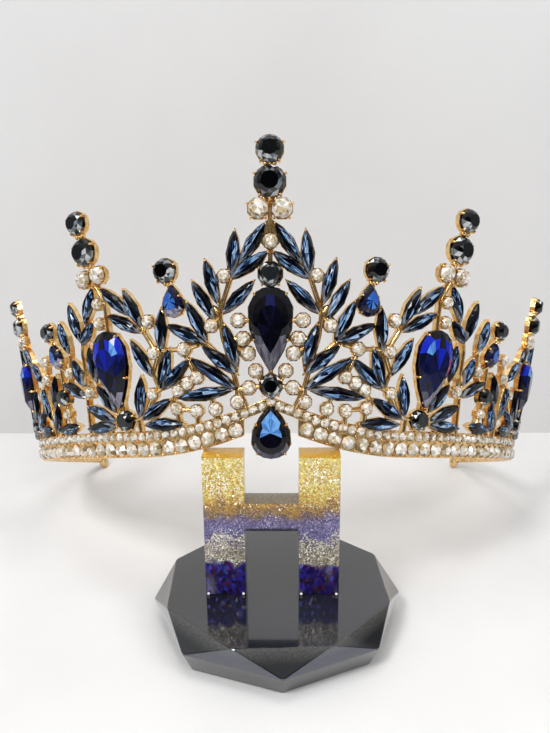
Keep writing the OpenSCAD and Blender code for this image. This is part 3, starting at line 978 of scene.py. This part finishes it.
        # Painted shade on faces that look up, as little light comes out of the crossbar's top face,
        # a painted dark line along its lower edge for the dark base seen through the resin, and
        # the poured top faces are plain amber
        upward = add_node(tree, "SeparateXYZ", {"Vector": facing}, out="Z")
        ledge = add_node(tree, "MapRange", {0: upward, 1: self.ledge[0], 2: self.ledge[1]})
        apart = add_node(tree, "Math", {0: axes["X"]}, operation="ABSOLUTE")
        inside, under, top = (
            add_node(tree, "MapRange", {0: value, 1: (at + ends[0]) * MM, 2: (at + ends[1]) * MM})
            for value, at, ends in (
                (apart, self.gap, [-depth for depth in self.inward]),
                (axes["Z"], self.bar, self.over_bar),
                (axes["Z"], self.high, [-depth for depth in self.under_top]),
            )
        )
        line = add_node(tree, "Math", {0: inside, 1: under}, operation="MULTIPLY")
        for share, code in ((ledge, self.sill), (line, self.shadow), (top, self.crown)):
            over = {0: share, 6: colour, 7: hex_colour(code)}
            colour = add_node(tree, "Mix", over, out=2, data_type="RGBA")
        # Each flake and each piece of stone faces its own way
        tips = add_node(tree, "Mix", {0: below, 6: flakes, 7: gravel}, out=2, data_type="RGBA")
        turned = add_node(tree, "VectorMath", {0: tips, 1: self.half}, operation="SUBTRACT")
        tipped = add_node(
            tree, "VectorMath", {0: turned, 1: self.tip, 2: facing}, operation="MULTIPLY_ADD"
        )
        return {
            "Base Color": colour,
            "Roughness": self.roughness,
            "Metallic": self.metallic,
            "Normal": add_node(tree, "VectorMath", {0: tipped}, operation="NORMALIZE"),
            "Coat Weight": self.coat,
            "Coat Roughness": self.coat_roughness,
        }


# Gold-coloured casting alloy, polished, a little uneven between the cups
GOLD = GoldFinish(
    name="gold alloy",
    slot=Slot.GOLD,
    colour="#f6d69c",
    shade="#dba65c",
    patch=1.6,
    roughness=0.25,
    detail=3.0,
    blend=(0.36, 0.58),
)
# Steel blue foil-backed crystal of the leaf stones; its pale blue stops paint highlights, streaked along the
# leaves, and its greys a reflection of the pale slab
STEEL_BLUE = GemFinish(
    name="steel blue crystal",
    slot=Slot.STEEL_BLUE,
    stops=(
        (0.0, "#020306"), (0.28, "#060912"), (0.4, "#182338"), (0.52, "#355078"),
        (0.63, "#6f99c8"), (0.76, "#bcd2ea"), (0.84, "#47484b"), (1.0, "#828285"),
    ),
    roughness=0.04,
    ior=1.38,
    streak=0.62,
    streaks=(5.5, 0.6, 1.0),
)
# Clear foil-backed crystal, champagne in the photograph
CLEAR = GemFinish(
    name="clear crystal",
    slot=Slot.CLEAR,
    stops=(
        (0.0, "#7a684c"), (0.14, "#b09a70"), (0.3, "#c4b28c"), (0.46, "#bcb8af"),
        (0.62, "#dad5ce"), (0.82, "#fbf9f5"), (1.0, "#e2cbb8"),
    ),
    streak=0.42,
    streaks=(4.5, 4.5, 1.0),
)
# Black crystal; its grey stops paint a metallic sheen and its white top stop glints
BLACK = GemFinish(
    name="black crystal",
    slot=Slot.BLACK,
    stops=(
        (0.0, "#020203"), (0.3, "#0d0e10"), (0.5, "#272c2c"),
        (0.7, "#414845"), (0.88, "#767f86"), (1.0, "#f1f4f3"),
    ),
    streak=0.05,
)
# Deep blue crystal, from near black over royal and sky blue to lavender grey; the lavender greys paint
# reflections of the pale slab
DEEP_BLUE = GemFinish(
    name="deep blue crystal",
    slot=Slot.DEEP_BLUE,
    stops=(
        (0.0, "#030305"), (0.12, "#0a0a17"), (0.25, "#141a4e"), (0.36, "#1326bc"),
        (0.5, "#3666ae"), (0.6, "#72aae2"), (0.65, "#2a1f4e"), (0.72, "#8c1c5e"),
        (0.77, "#3a3848"), (0.84, "#61616b"), (0.94, "#9793a8"), (1.0, "#b7b4c6"),
    ),
    ior=1.38,
    streak=0.06,
    streaks=(7.0, 1.0, 1.0),
)
# Black cast resin with a high gloss
BLACK_RESIN = ResinFinish(
    name="black resin", slot=Slot.BLACK_RESIN, colour="#22242c", shade="#15161b", patch=30.0, roughness=0.1
)
# Pale stone slab under the object, and a pale wall behind it that shows from the front only
SLAB = MottledFinish(name="pale stone slab", colour="#e1e0df", shade="#d9d8d7", patch=90.0, roughness=0.45)
WALL = MottledFinish(
    name="pale wall", colour="#dddddd", shade="#d7d6d6", patch=120.0, roughness=0.8, one_sided=True
)


@cache
def material_of(finish: Finish) -> Material:
    """The material of a finish, made the first time that it is asked for."""
    log.info("material %s", finish.name)
    return finish.build()


def give(thing: Object, finish: Finish) -> None:
    """Gives a piece its only material."""
    thing.data.materials.clear()
    thing.data.materials.append(material_of(finish))


class Jeweller:
    """Models the unit stones, the claw and the bead once each, and sets copies of them."""

    FOOT_R = 0.82
    # Steps of a cut, from its foot up. Columns: rise, growth, 1 where it turns by half a side
    STEPS = ((0.36, 1.0 / FOOT_R, 0), (0.08, 1.0, 0), (0.34, 0.8, 1), (0.22, 0.7, 1))
    PLAIN_STEPS = (STEPS[0], (0.64, 0.58, 0))
    CLAW_SUNK = 0.3
    CLAW_LEAN = math.radians(-14)
    CLAW_DEPTH = 0.9

    def __init__(self) -> None:
        """Models the unit pieces."""
        self.rng = random.Random(SEED)
        self.stones = {cut: self.unit_stone(cut) for cut in Cut}
        self.claw = self.unit_claw()
        self.bead = self.unit_bead()

    def clear_away(self) -> None:
        """Removes the unit pieces."""
        for unit in (*self.stones.values(), self.claw, self.bead):
            bpy.data.objects.remove(unit)

    def unit_stone(self, cut: Cut) -> Object:
        """Foot, belly, girdle, kite and star facets and a table of triangles.

        Args:
            cut: the cut.

        Returns:
            The unit stone, of radius 1 and height 1.
        """
        _, sides, full = cut.value
        deselect()
        bpy.ops.mesh.primitive_circle_add(vertices=sides, radius=self.FOOT_R, fill_type="NGON")
        stone = bpy.context.object
        bpy.ops.object.mode_set(mode="EDIT")
        bpy.ops.mesh.select_mode(type="FACE")
        bpy.ops.mesh.select_all(action="SELECT")
        for rise, grow, turned in self.STEPS if full else self.PLAIN_STEPS:
            bpy.ops.mesh.extrude_region_move(TRANSFORM_OT_translate={"value": (0, 0, rise)})
            bpy.ops.transform.resize(value=(grow, grow, 1), center_override=(0, 0, 0))
            if turned:
                bpy.ops.transform.rotate(
                    value=math.pi / sides, orient_axis="Z", center_override=(0, 0, 0)
                )
        bpy.ops.mesh.poke()
        bpy.ops.object.mode_set(mode="OBJECT")
        for facet in stone.data.polygons:
            facet.select = facet.center.z > Zone.GIRDLE.value
        bpy.ops.object.mode_set(mode="EDIT")
        if full:
            bpy.ops.mesh.quads_convert_to_tris(quad_method="SHORTEST_DIAGONAL")
        bpy.ops.mesh.select_all(action="SELECT")
        bpy.ops.mesh.normals_make_consistent(inside=False)
        bpy.ops.object.mode_set(mode="OBJECT")
        self.put_in_order(stone.data)
        return stone

    @staticmethod
    def put_in_order(mesh: Mesh) -> None:
        """Numbers corners and facets by their places, so that each run tones them alike.

        Args:
            mesh: the unit stone, whose numbering the operators leave to chance.
        """

        def place(corner: MeshVertex) -> tuple[float, float, float]:
            """Where a corner comes in the order.

            Args:
                corner: the corner.

            Returns:
                Its level, radius and turn.
            """
            radius = math.hypot(corner.co.x, corner.co.y)
            turn = (math.atan2(corner.co.x, corner.co.y) + 0.01) % math.tau if radius > 0.01 else 0.0
            return round(corner.co.z, 3), round(radius, 3), turn

        corners = sorted(mesh.vertices, key=place)
        number = {corner.index: i for i, corner in enumerate(corners)}
        facets = []
        for polygon in mesh.polygons:
            ring = [number[i] for i in polygon.vertices]
            first = ring.index(min(ring))
            facets.append(tuple(ring[first:] + ring[:first]))
        places = [tuple(corner.co) for corner in corners]
        mesh.clear_geometry()
        mesh.from_pydata(places, [], sorted(facets))

    @staticmethod
    def unit_claw() -> Object:
        """A claw of radius 1 and half height 1, rounded at both ends.

        Returns:
            The unit claw.
        """
        deselect()
        bpy.ops.mesh.primitive_uv_sphere_add(segments=8, ring_count=5, radius=1)
        edit_all()
        bpy.ops.transform.rotate(value=math.pi / 8, orient_axis="Z", center_override=(0, 0, 0))
        bpy.ops.object.mode_set(mode="OBJECT")
        bpy.ops.object.shade_smooth()
        return bpy.context.object

    @staticmethod
    def unit_bead() -> Object:
        """A bead of radius 1.

        Returns:
            The unit bead.
        """
        deselect()
        bpy.ops.mesh.primitive_ico_sphere_add(subdivisions=2, radius=1)
        bpy.ops.object.shade_smooth()
        return bpy.context.object

    def cut(self, stone: Stone, over: float = 0.0, tall: float | None = None) -> Object:
        """Cuts one stone and sets it on the plate.

        Args:
            stone: the stone.
            over: how much wider it is cut all round, in millimetres, to meet its cup.
            tall: its height, if it isn't the usual one for its width.

        Returns:
            The stone, with a "tone" for each facet and its "cut" coordinates.
        """
        outline = stone.outline.grown(over)
        mesh = self.stones[outline.cut].data.copy()
        zones = [Zone.at(facet.center.z) for facet in mesh.polygons]
        for vertex in mesh.vertices:
            vertex.co = outline.shaped(vertex.co, tall or outline.tall)
        mesh.update()
        across, along = outline.width / 2, outline.length / 2
        lot = self.rng.random()
        tones = []
        for zone, p in zip(zones, mesh.polygons):
            facet = Facet(zone, p.center.x / across, p.center.y / along, p.normal.y, stone.side, lot)
            tones.append(self.tone(facet, stone.rule))
        mesh.attributes.new("tone", "FLOAT", "FACE").data.foreach_set("value", tones)
        layer = mesh.uv_layers.new(name="cut")
        # Each stone has its own piece of the streaks
        shift = self.rng.uniform(0, 40)
        for loop in mesh.loops:
            co = mesh.vertices[loop.vertex_index].co
            layer.data[loop.index].uv = (co.x / across + shift, co.y / along + shift)
        mesh.transform(stone.seat)
        return new_object(stone.name + "_cut", mesh)

    def tone(self, facet: Facet, rule: Rule) -> float:
        """Draws the tone of a facet.

        Args:
            facet: the facet.
            rule: the patches of its stone.

        Returns:
            Its place on the crystal's colour ramp, from 0 to 1.
        """
        patch = next(p for p in rule if p.holds(facet) and (p.share == 1 or self.rng.random() < p.share))
        tone = patch.tones[0] if len(patch.tones) == 1 else self.rng.choice(patch.tones)
        return tone + patch.lift * facet.lot**2

    def set_claw(self, seat: Matrix, x: float, y: float, radius: float, top: float) -> Object:
        """Sets one claw against a stone.

        Args:
            seat: the stone's place.
            x: where the claw stands across, in millimetres.
            y: where it stands along.
            radius: its radius.
            top: how high it reaches off the plate.

        Returns:
            The claw, leaning over the stone.
        """
        half = (top + self.CLAW_SUNK) / 2
        place = (
            seat
            @ Matrix.Translation((x, y, half - self.CLAW_SUNK))
            @ Matrix.Rotation(math.atan2(y, x), 4, "Z")
            @ Matrix.Rotation(self.CLAW_LEAN, 4, "Y")
            @ Matrix.Diagonal((radius, radius * self.CLAW_DEPTH, half, 1))
        )
        return placed_copy(self.claw, place)

    def set_bead(self, seat: Matrix, place: tuple[float, float, float], radius: float) -> Object:
        """Sets one bead.

        Args:
            seat: what it is placed on.
            place: where it lies there, in millimetres.
            radius: its radius.

        Returns:
            The bead.
        """
        return placed_copy(self.bead, seat @ Matrix.Translation(place) @ Matrix.Scale(radius, 4))


@dataclass
class Assembly:
    """A group of pieces."""

    jeweller: Jeweller

    @staticmethod
    def hand_over(piece: Object, finish: Finish, *nodes: str) -> None:
        """Args:
            piece: the piece.
            finish: its finish.
            nodes: the CAD nodes that it stands for.
        """
        give(piece, finish)
        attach(piece, "root")
        if nodes:
            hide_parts(*nodes)
        log.info("%s: %d faces", piece.name, len(piece.data.polygons))


@dataclass
class MainStones(Assembly):
    """The black rounds and the deep blue teardrops, pears and drop."""

    over: float = 0.2

    def build(self) -> None:
        """Cuts every main stone in place of its CAD node."""
        for part in Part:
            for stone in main_stones(part):
                finish = BLACK if stone.outline.cut is Cut.ROUND else DEEP_BLUE
                self.hand_over(self.jeweller.cut(stone, self.over), finish, stone.name)


@dataclass
class StoneFields(Assembly):
    """The steel blue leaf stones and the small clear rounds."""

    leaf_over: float = 0.3
    clear_over: float = 0.2

    def build(self) -> None:
        """Cuts each field in place of its CAD node."""
        for kind, stones, over, finish in (
            ("leaves", leaf_stones, self.leaf_over, STEEL_BLUE),
            ("clears", clear_stones, self.clear_over, CLEAR),
        ):
            for part in Part:
                node = kind + part.ending
                cut = [self.jeweller.cut(stone, over) for stone in stones(part)]
                self.hand_over(join(node + "_cut", cut), finish, node)


@dataclass
class Settings(Assembly):
    """Claws that hold the stones, and collars of beads between stones."""

    tab_r: float = 0.4
    tab_top: float = 1.05
    tab_past: float = 0.3
    claw_r: float = 0.44
    claw_past: float = 0.25
    # A claw's top, as a share of the stone's height and so much more
    claw_share: float = 0.55
    claw_over: float = 0.55
    small: float = 4.0
    small_claw_r: float = 0.32
    # Where claws stand, in degrees from the upward direction
    turns: tuple[int, ...] = (45, 135, 225, 315)
    pear_turns: tuple[int, ...] = (0, 75, 145, 215, 285)
    # Rounds wider than this have claws that stand out at their sides
    large: float = 5.1
    large_turns: tuple[int, ...] = (64, 142, 218, 296)
    large_claw_past: float = 0.55
    collar_r: float = 0.66
    collar_out: float = 0.45

    def build(self) -> None:
        """Makes the claws of each part of the tiara, and the collars."""
        for part in Part:
            claws = [claw for stone in leaf_stones(part) for claw in self.leaf_claws(stone)]
            others = clear_stones(part) + main_stones(part)
            claws += [claw for stone in others for claw in self.corner_claws(stone)]
            self.hand_over(join("claws" + part.ending, claws), GOLD)
        rows = [*COLLARS_MIDDLE]
        rows += [(side * angle, height, step) for angle, height, step in COLLARS_SIDE for side in (-1, 1)]
        out = PLATE.cup + self.collar_out
        collars = [
            self.jeweller.set_bead(PLATE.seat(angle, height), (place * step, 0, out), self.collar_r)
            for angle, height, step in rows
            for place in (-1, 0, 1)
        ]
        self.hand_over(join("collars", collars), GOLD)

    def leaf_claws(self, stone: Stone) -> list[Object]:
        """A tab at each tip of a leaf stone.

        Args:
            stone: the stone.

        Returns:
            The two tabs.
        """
        reach = stone.outline.length / 2 + self.tab_past
        ends = (-reach, reach)
        return [self.jeweller.set_claw(stone.seat, 0.0, y, self.tab_r, self.tab_top) for y in ends]

    def corner_claws(self, stone: Stone) -> list[Object]:
        """Four claws round a round stone, five round a pear.

        Args:
            stone: the stone.

        Returns:
            The claws.
        """
        wide = stone.outline.width
        past, turns = self.claw_past, self.turns
        if stone.outline.cut is Cut.PEAR:
            turns = self.pear_turns
        elif wide > self.large:
            past, turns = self.large_claw_past, self.large_turns
        outline = stone.outline.grown(past)
        top = self.claw_share * stone.outline.tall + self.claw_over
        radius = self.small_claw_r if wide < self.small else self.claw_r
        places = [outline.at(math.radians(turn)) for turn in turns]
        return [self.jeweller.set_claw(stone.seat, x, y, radius, top) for x, y in places]


@dataclass
class Stems(Assembly):
    """Round wire backs of the stems, and the rings at the tiara's two ends."""

    wire_r: float = 0.5
    sunk: float = 0.05
    loop_past: float = 1.1
    loop_r: float = 2.4
    loop_hole_r: float = 1.1
    loop_back: float = 0.35
    loop_points: int = 40

    def build(self) -> None:
        """Lays the wires on the flat stems and round the end loops."""
        paths = [STEM_SPIRE, STEM_BELOW]
        for side in (-1, 1):
            for path in STEMS_MIDDLE + STEMS_SIDE:
                paths.append([(side * angle, height) for angle, height in path])
        runs = [self.smooth(path) for path in paths]
        self.hand_over(wires("stem_wires", runs, self.wire_r, smooth=2), GOLD)
        middle = (self.loop_r + self.loop_hole_r) / 2
        turns = [2 * math.pi * i / self.loop_points for i in range(self.loop_points)]
        rings = []
        for side in (-1, 1):
            seat = PLATE.seat(side * (PLATE.half_arc + self.loop_past), 0)
            rings.append([
                seat @ Vector((middle * math.sin(turn), middle * math.cos(turn), -self.loop_back))
                for turn in turns
            ])
        radius = (self.loop_r - self.loop_hole_r) / 2
        self.hand_over(wires("end_rings", rings, radius, closed=True, smooth=3), GOLD)

    def smooth(self, path: Path) -> list[Vector]:
        """Fills in a path so that it follows the curve of the plate.

        Args:
            path: its points, as angles and heights.

        Returns:
            Its points in metres, at most a degree or two millimetres of height apart.
        """
        out = PLATE.cup - self.sunk
        points = []
        for (a0, h0), (a1, h1) in zip(path, path[1:]):
            steps = max(2, int(max(abs(a1 - a0), abs(h1 - h0) / 2)))
            for i in range(steps):
                points.append(PLATE.point(a0 + (a1 - a0) * i / steps, h0 + (h1 - h0) * i / steps, out))
        return [*points, PLATE.point(*path[-1], out)]


@dataclass
class Band(Assembly):
    """The two rows of small clear stones, with beads between them and wires along the edges."""

    height: float = 7.2
    row_h: float = 2.8
    # The lower row is open each side of the middle, and its stones and both rows' ends stay
    # clear of the edges, all in degrees
    apart: float = 4.8
    lower_in: float = 1.4
    lower_short: float = 1.6
    upper_short: float = 1.2
    upper_stone: float = 2.6
    upper_pitch: float = 2.62
    upper_bead_r: float = 0.36
    upper_bead_in: float = 0.1
    lower_stone: float = 4.0
    lower_pitch: float = 4.05
    lower_bead_r: float = 0.42
    lower_bead_in: float = 0.3
    tall_share: float = 0.36
    stone_sunk: float = 0.1
    bead_out: float = 0.05
    edge_r: float = 0.22
    edge_sunk: float = 0.15
    edge_step: float = 1.5

    def build(self) -> None:
        """Sets the band's stones, beads and edges."""
        end, start, split = PLATE.half_arc, self.apart, self.height - self.row_h
        upper, lower = self.height - self.row_h / 2, split / 2
        top = PLATE.march(0.0, end - self.upper_short, upper, self.upper_pitch)
        low = PLATE.march(start + self.lower_in, end - self.lower_short, lower, self.lower_pitch)
        self.row("band_upper_row", top, upper, self.upper_stone)
        self.row("band_lower_row", low, lower, self.lower_stone)
        beads = self.beads(top, self.height - self.upper_bead_in, self.upper_bead_r)
        for up in (split, self.lower_bead_in):
            beads += self.beads(low, up, self.lower_bead_r)
        self.hand_over(join("band_beads", beads), GOLD)
        lines = ((-end, end, self.height), (-end, -start, 0.0), (start, end, 0.0), (-end, end, split))
        self.hand_over(wires("band_edges", [self.edge(*line) for line in lines], self.edge_r), GOLD)

    @staticmethod
    def both(angles: Iterable[float]) -> list[float]:
        """The angles on both sides, the middle one once."""
        return [side * angle for angle in angles for side in (-1, 1) if angle > 0 or side > 0]

    def row(self, name: str, angles: Sequence[float], up: float, wide: float) -> None:
        """Sets one row of stones.

        Args:
            name: its name.
            angles: where its stones lie, on one side.
            up: their height over the band's lower edge.
            wide: their width.
        """
        outline = Outline(wide, wide, Cut.TINY)
        lift = PLATE.cup - outline.lift - self.stone_sunk
        stones = [
            Stone(name, angle, PLATE.arch(angle) + up, 0, outline, CLEAR_TONES, lift=lift)
            for angle in self.both(angles)
        ]
        cut = [self.jeweller.cut(stone, tall=self.tall_share * wide) for stone in stones]
        self.hand_over(join(name, cut), CLEAR)

    def beads(self, angles: Sequence[float], up: float, radius: float) -> list[Object]:
        """Sets a bead between each two stones of a row.

        Args:
            angles: where the stones lie, on one side.
            up: the beads' height over the band's lower edge.
            radius: their radius.

        Returns:
            The beads of both sides.
        """
        halfway = self.both((a + b) / 2 for a, b in zip(angles, angles[1:]))
        place = (0, 0, PLATE.cup + self.bead_out)
        return [self.jeweller.set_bead(PLATE.seat(a, PLATE.arch(a) + up), place, radius) for a in halfway]

    def edge(self, start: float, stop: float, up: float) -> list[Vector]:
        """Points along the band.

        Args:
            start: first angle.
            stop: last angle.
            up: height over the band's lower edge.

        Returns:
            The points, in metres.
        """
        steps = int(abs(stop - start) / self.edge_step)
        angles = [start + (stop - start) * i / steps for i in range(steps + 1)]
        return [PLATE.point(a, PLATE.arch(a) + up, PLATE.cup - self.edge_sunk) for a in angles]


@dataclass
class Stand(Assembly):
    """The H-shaped resin posts on their faceted black base."""

    width: float = 37.5
    post: float = 11.3
    depth: float = 7.0
    front_y: float = -7.8
    top: float = 53.572
    base_h: float = 11.6
    bar_low: float = 19.9
    bar_h: float = 8.3
    edge: float = 0.28
    base_x: float = 1.3
    base_turn: float = 3.0
    corners: int = 8
    # Rings of corners. Columns: radius, level, turn in degrees
    rings: tuple[tuple[float, float, float], ...] = (
        (33.2, 0.0, 0.0), (33.2, 0.6, 0.0), (36.3, 6.35, 0.0), (33.3, 11.6, 22.5),
    )
    bead_r: float = 0.42
    bead_in: float = 0.7
    bead_out: float = 0.25
    bead_tone: float = 0.85
    # In degrees: faces that count as one, and edges past which a side stays sharp
    flat: float = 1.0
    posts_sharp: float = 25.0
    base_sharp: float = 12.0

    def build(self) -> None:
        """Models the posts with their crossbar, the base and the small beads at the posts' feet."""
        gap, bar = self.width / 2 - self.post, self.base_h + self.bar_low
        # Clear resin cast over gold glitter, lavender and pale flakes, and crushed violet stone
        glitter = GlitterFinish(
            name="glitter resin", slot=Slot.GLITTER, low=self.base_h, high=self.top, gap=gap, bar=bar
        )
        self.hand_over(self.posts(gap, bar), glitter, "posts")
        self.hand_over(self.base(), BLACK_RESIN, "base")
        ground = Matrix.Scale(MM, 4)
        beads = []
        for side in (-1, 1):
            for x in (gap + self.bead_in, self.width / 2 - self.bead_in):
                place = (side * x, self.front_y - self.bead_out, self.base_h + self.bead_r)
                beads.append(self.jeweller.set_bead(ground, place, self.bead_r))
        feet = join("foot_beads", beads)
        tones = [self.bead_tone] * len(feet.data.polygons)
        feet.data.attributes.new("tone", "FLOAT", "FACE").data.foreach_set("value", tones)
        feet.data.uv_layers[0].name = "cut"
        self.hand_over(feet, CLEAR)

    def soften(self, thing: Object, name: str, sharp: float) -> Object:
        """Finishes a block in edit mode: merges its flat faces and softens its edges.

        Args:
            thing: the block.
            name: its name.
            sharp: angle in degrees past which an edge stays sharp.

        Returns:
            The block.
        """
        bpy.ops.mesh.select_all(action="SELECT")
        bpy.ops.mesh.dissolve_limited(angle_limit=math.radians(self.flat))
        bpy.ops.mesh.normals_make_consistent(inside=False)
        bpy.ops.mesh.bevel(offset=self.edge * MM, segments=2, affect="EDGES")
        bpy.ops.object.mode_set(mode="OBJECT")
        bpy.ops.object.shade_smooth_by_angle(angle=math.radians(sharp))
        thing.name = name
        return thing

    def posts(self, gap: float, bar: float) -> Object:
        """The two posts and the crossbar in one.

        Args:
            gap: half the distance between the posts.
            bar: level of the crossbar's lower edge.

        Returns:
            The posts.
        """
        across = (-self.width / 2, -gap, gap, self.width / 2)
        levels = (self.base_h, bar, bar + self.bar_h, self.top)
        deselect()
        bpy.ops.mesh.primitive_grid_add(x_subdivisions=3, y_subdivisions=3, size=3)
        posts = bpy.context.object
        for vertex in posts.data.vertices:
            column, line = round(vertex.co.x + 1.5), round(vertex.co.y + 1.5)
            vertex.co = Vector((across[column], self.front_y, levels[line])) * MM
        posts.data.update()
        for face in posts.data.polygons:
            x, z = face.center.x / MM, face.center.z / MM
            face.select = abs(x) < gap and not levels[1] < z < levels[2]
        bpy.ops.object.mode_set(mode="EDIT")
        bpy.ops.mesh.select_mode(type="FACE")
        bpy.ops.mesh.delete(type="FACE")
        bpy.ops.mesh.select_all(action="SELECT")
        bpy.ops.mesh.extrude_region_move(TRANSFORM_OT_translate={"value": (0, self.depth * MM, 0)})
        return self.soften(posts, "posts_resin", self.posts_sharp)

    def base(self) -> Object:
        """The faceted base: rings of corners, wrapped.

        Returns:
            The base.
        """
        deselect()
        bpy.ops.mesh.primitive_circle_add(vertices=self.corners, radius=1)
        base = bpy.context.object
        edit_all()
        for _ in self.rings[1:]:
            bpy.ops.mesh.duplicate()
        bpy.ops.object.mode_set(mode="OBJECT")
        for i, vertex in enumerate(base.data.vertices):
            radius, level, extra = self.rings[i // self.corners]
            spoke = 360 / self.corners * (i % self.corners) + extra
            angle = math.radians(self.base_turn) + math.radians(spoke)
            place = Vector((self.base_x + radius * math.cos(angle), radius * math.sin(angle), level))
            vertex.co = place * MM
        edit_all()
        bpy.ops.mesh.convex_hull()
        return self.soften(base, "base_resin", self.base_sharp)


@dataclass
class Studio:
    """Floor, wall, lights and camera. Lights are in metres, the rest in millimetres and radians."""

    wall_y: float = 150.0
    floor_under: float = 0.05
    stage_w: float = 3000.0
    # The room is dim behind the camera and bright above and behind the object
    room: Stops = (
        (0.0, "#1c1c1e"), (0.3, "#3a3a3d"), (0.5, "#a9aaad"), (0.7, "#e9ebee"), (1.0, "#ffffff"),
    )
    room_light: float = 0.72
    bright_way: tuple[float, float, float] = (0.0, 0.4, 0.4)
    backdrop: str = "#f4f4f5"
    aim: tuple[float, float, float] = (0.0, 0.0, 0.06)
    # Columns: name, place, size, power. The fill would stand as a grey patch in the large
    # teardrops, so it isn't mirrored
    lamps: tuple[tuple, ...] = (
        ("key", (-0.35, -0.45, 0.75), 0.22, 4.6),
        ("fill", (0.55, -0.35, 0.5), 0.3, 1.5),
        ("top", (0.0, 0.1, 0.9), 0.5, 3.0),
        ("glint", (0.16, -0.5, 0.5), 0.06, 0.6),
    )
    eye: tuple[float, float, float] = (4.70, -181.48, 126.85)
    turn: float = 0.0197
    pitch: float = 0.2706
    roll: float = -0.0083
    near: float = 5.0
    # In pixels of the photograph
    focal: float = 700.0
    image_h: float = 733.0

    def build(self) -> None:
        """Sets the stage."""
        self.plane("floor", Matrix.Translation((0, 0, -self.floor_under * MM)), SLAB)
        middle = (0, self.wall_y * MM, self.stage_w * MM / 2)
        self.plane("wall", Matrix.Translation(middle) @ Matrix.Rotation(math.pi / 2, 4, "X"), WALL)
        self.light_room()
        self.light_lamps()
        self.set_camera()

    def plane(self, name: str, place: Matrix, finish: Finish) -> None:
        """A plane of the stage.

        Args:
            name: its name.
            place: where it lies.
            finish: its finish.
        """
        deselect()
        bpy.ops.mesh.primitive_plane_add(size=self.stage_w * MM)
        made = bpy.context.object
        made.name = name
        made.data.transform(place)
        give(made, finish)

    def light_room(self) -> None:
        """A pale room, which the camera sees as an even backdrop."""
        world = bpy.data.worlds.new("pale room")
        world.use_nodes = True
        bpy.context.scene.world = world
        tree = world.node_tree
        tree.nodes.clear()
        toward = add_node(tree, "TexCoord", {}, out="Generated")
        way = {0: toward, 1: self.bright_way}
        bright = add_node(tree, "VectorMath", way, out="Value", operation="DOT_PRODUCT")
        share = add_node(tree, "Math", {0: bright, 1: 0.5})
        room = add_node(tree, "ValToRGB", {"Fac": share}, stops=self.room)
        seen = add_node(tree, "LightPath", {}, out="Is Camera Ray")
        both = {0: seen, 6: room, 7: hex_colour(self.backdrop)}
        colour = add_node(tree, "Mix", both, out=2, data_type="RGBA")
        light = add_node(tree, "Background", {"Color": colour, "Strength": self.room_light})
        add_node(tree, "OutputWorld", {"Surface": light})

    def light_lamps(self) -> None:
        """Soft boxes, each turned to the object."""
        for name, place, size, power in self.lamps:
            lamp = bpy.data.lights.new(name, "AREA")
            lamp.size = size
            lamp.energy = power
            holder = new_object(name, lamp)
            holder.visible_glossy = name != "fill"
            toward = (Vector(self.aim) - Vector(place)).to_track_quat("-Z", "Y")
            holder.matrix_world = Matrix.Translation(place) @ toward.to_matrix().to_4x4()

    def set_camera(self) -> None:
        """The camera as it stood for the photograph."""
        level = Vector((-math.sin(self.turn), math.cos(self.turn), 0))
        right = Vector((math.cos(self.turn), math.sin(self.turn), 0))
        ahead = level * math.cos(self.pitch) - Vector((0, 0, math.sin(self.pitch)))
        above = right.cross(ahead)
        c, s = math.cos(self.roll), math.sin(self.roll)
        rolled = Matrix((right * c + above * s, above * c - right * s, -ahead)).transposed()
        lens = bpy.data.cameras.new("photograph")
        lens.lens = lens.sensor_width * self.focal / self.image_h
        lens.clip_start = self.near * MM
        camera = new_object("photograph", lens)
        camera.matrix_world = Matrix.Translation(Vector(self.eye) * MM) @ rolled.to_4x4()
        bpy.context.scene.camera = camera


def main() -> None:
    """Builds the whole scene."""
    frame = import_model()
    give(frame["nodes"]["frame"], GOLD)
    jeweller = Jeweller()
    for assembly in (MainStones, StoneFields, Settings, Stems, Band, Stand):
        assembly(jeweller).build()
    jeweller.clear_away()
    Studio().build()
    bpy.context.scene.view_settings.view_transform = "Standard"
    deselect()


if __name__ == "__main__":
    main()
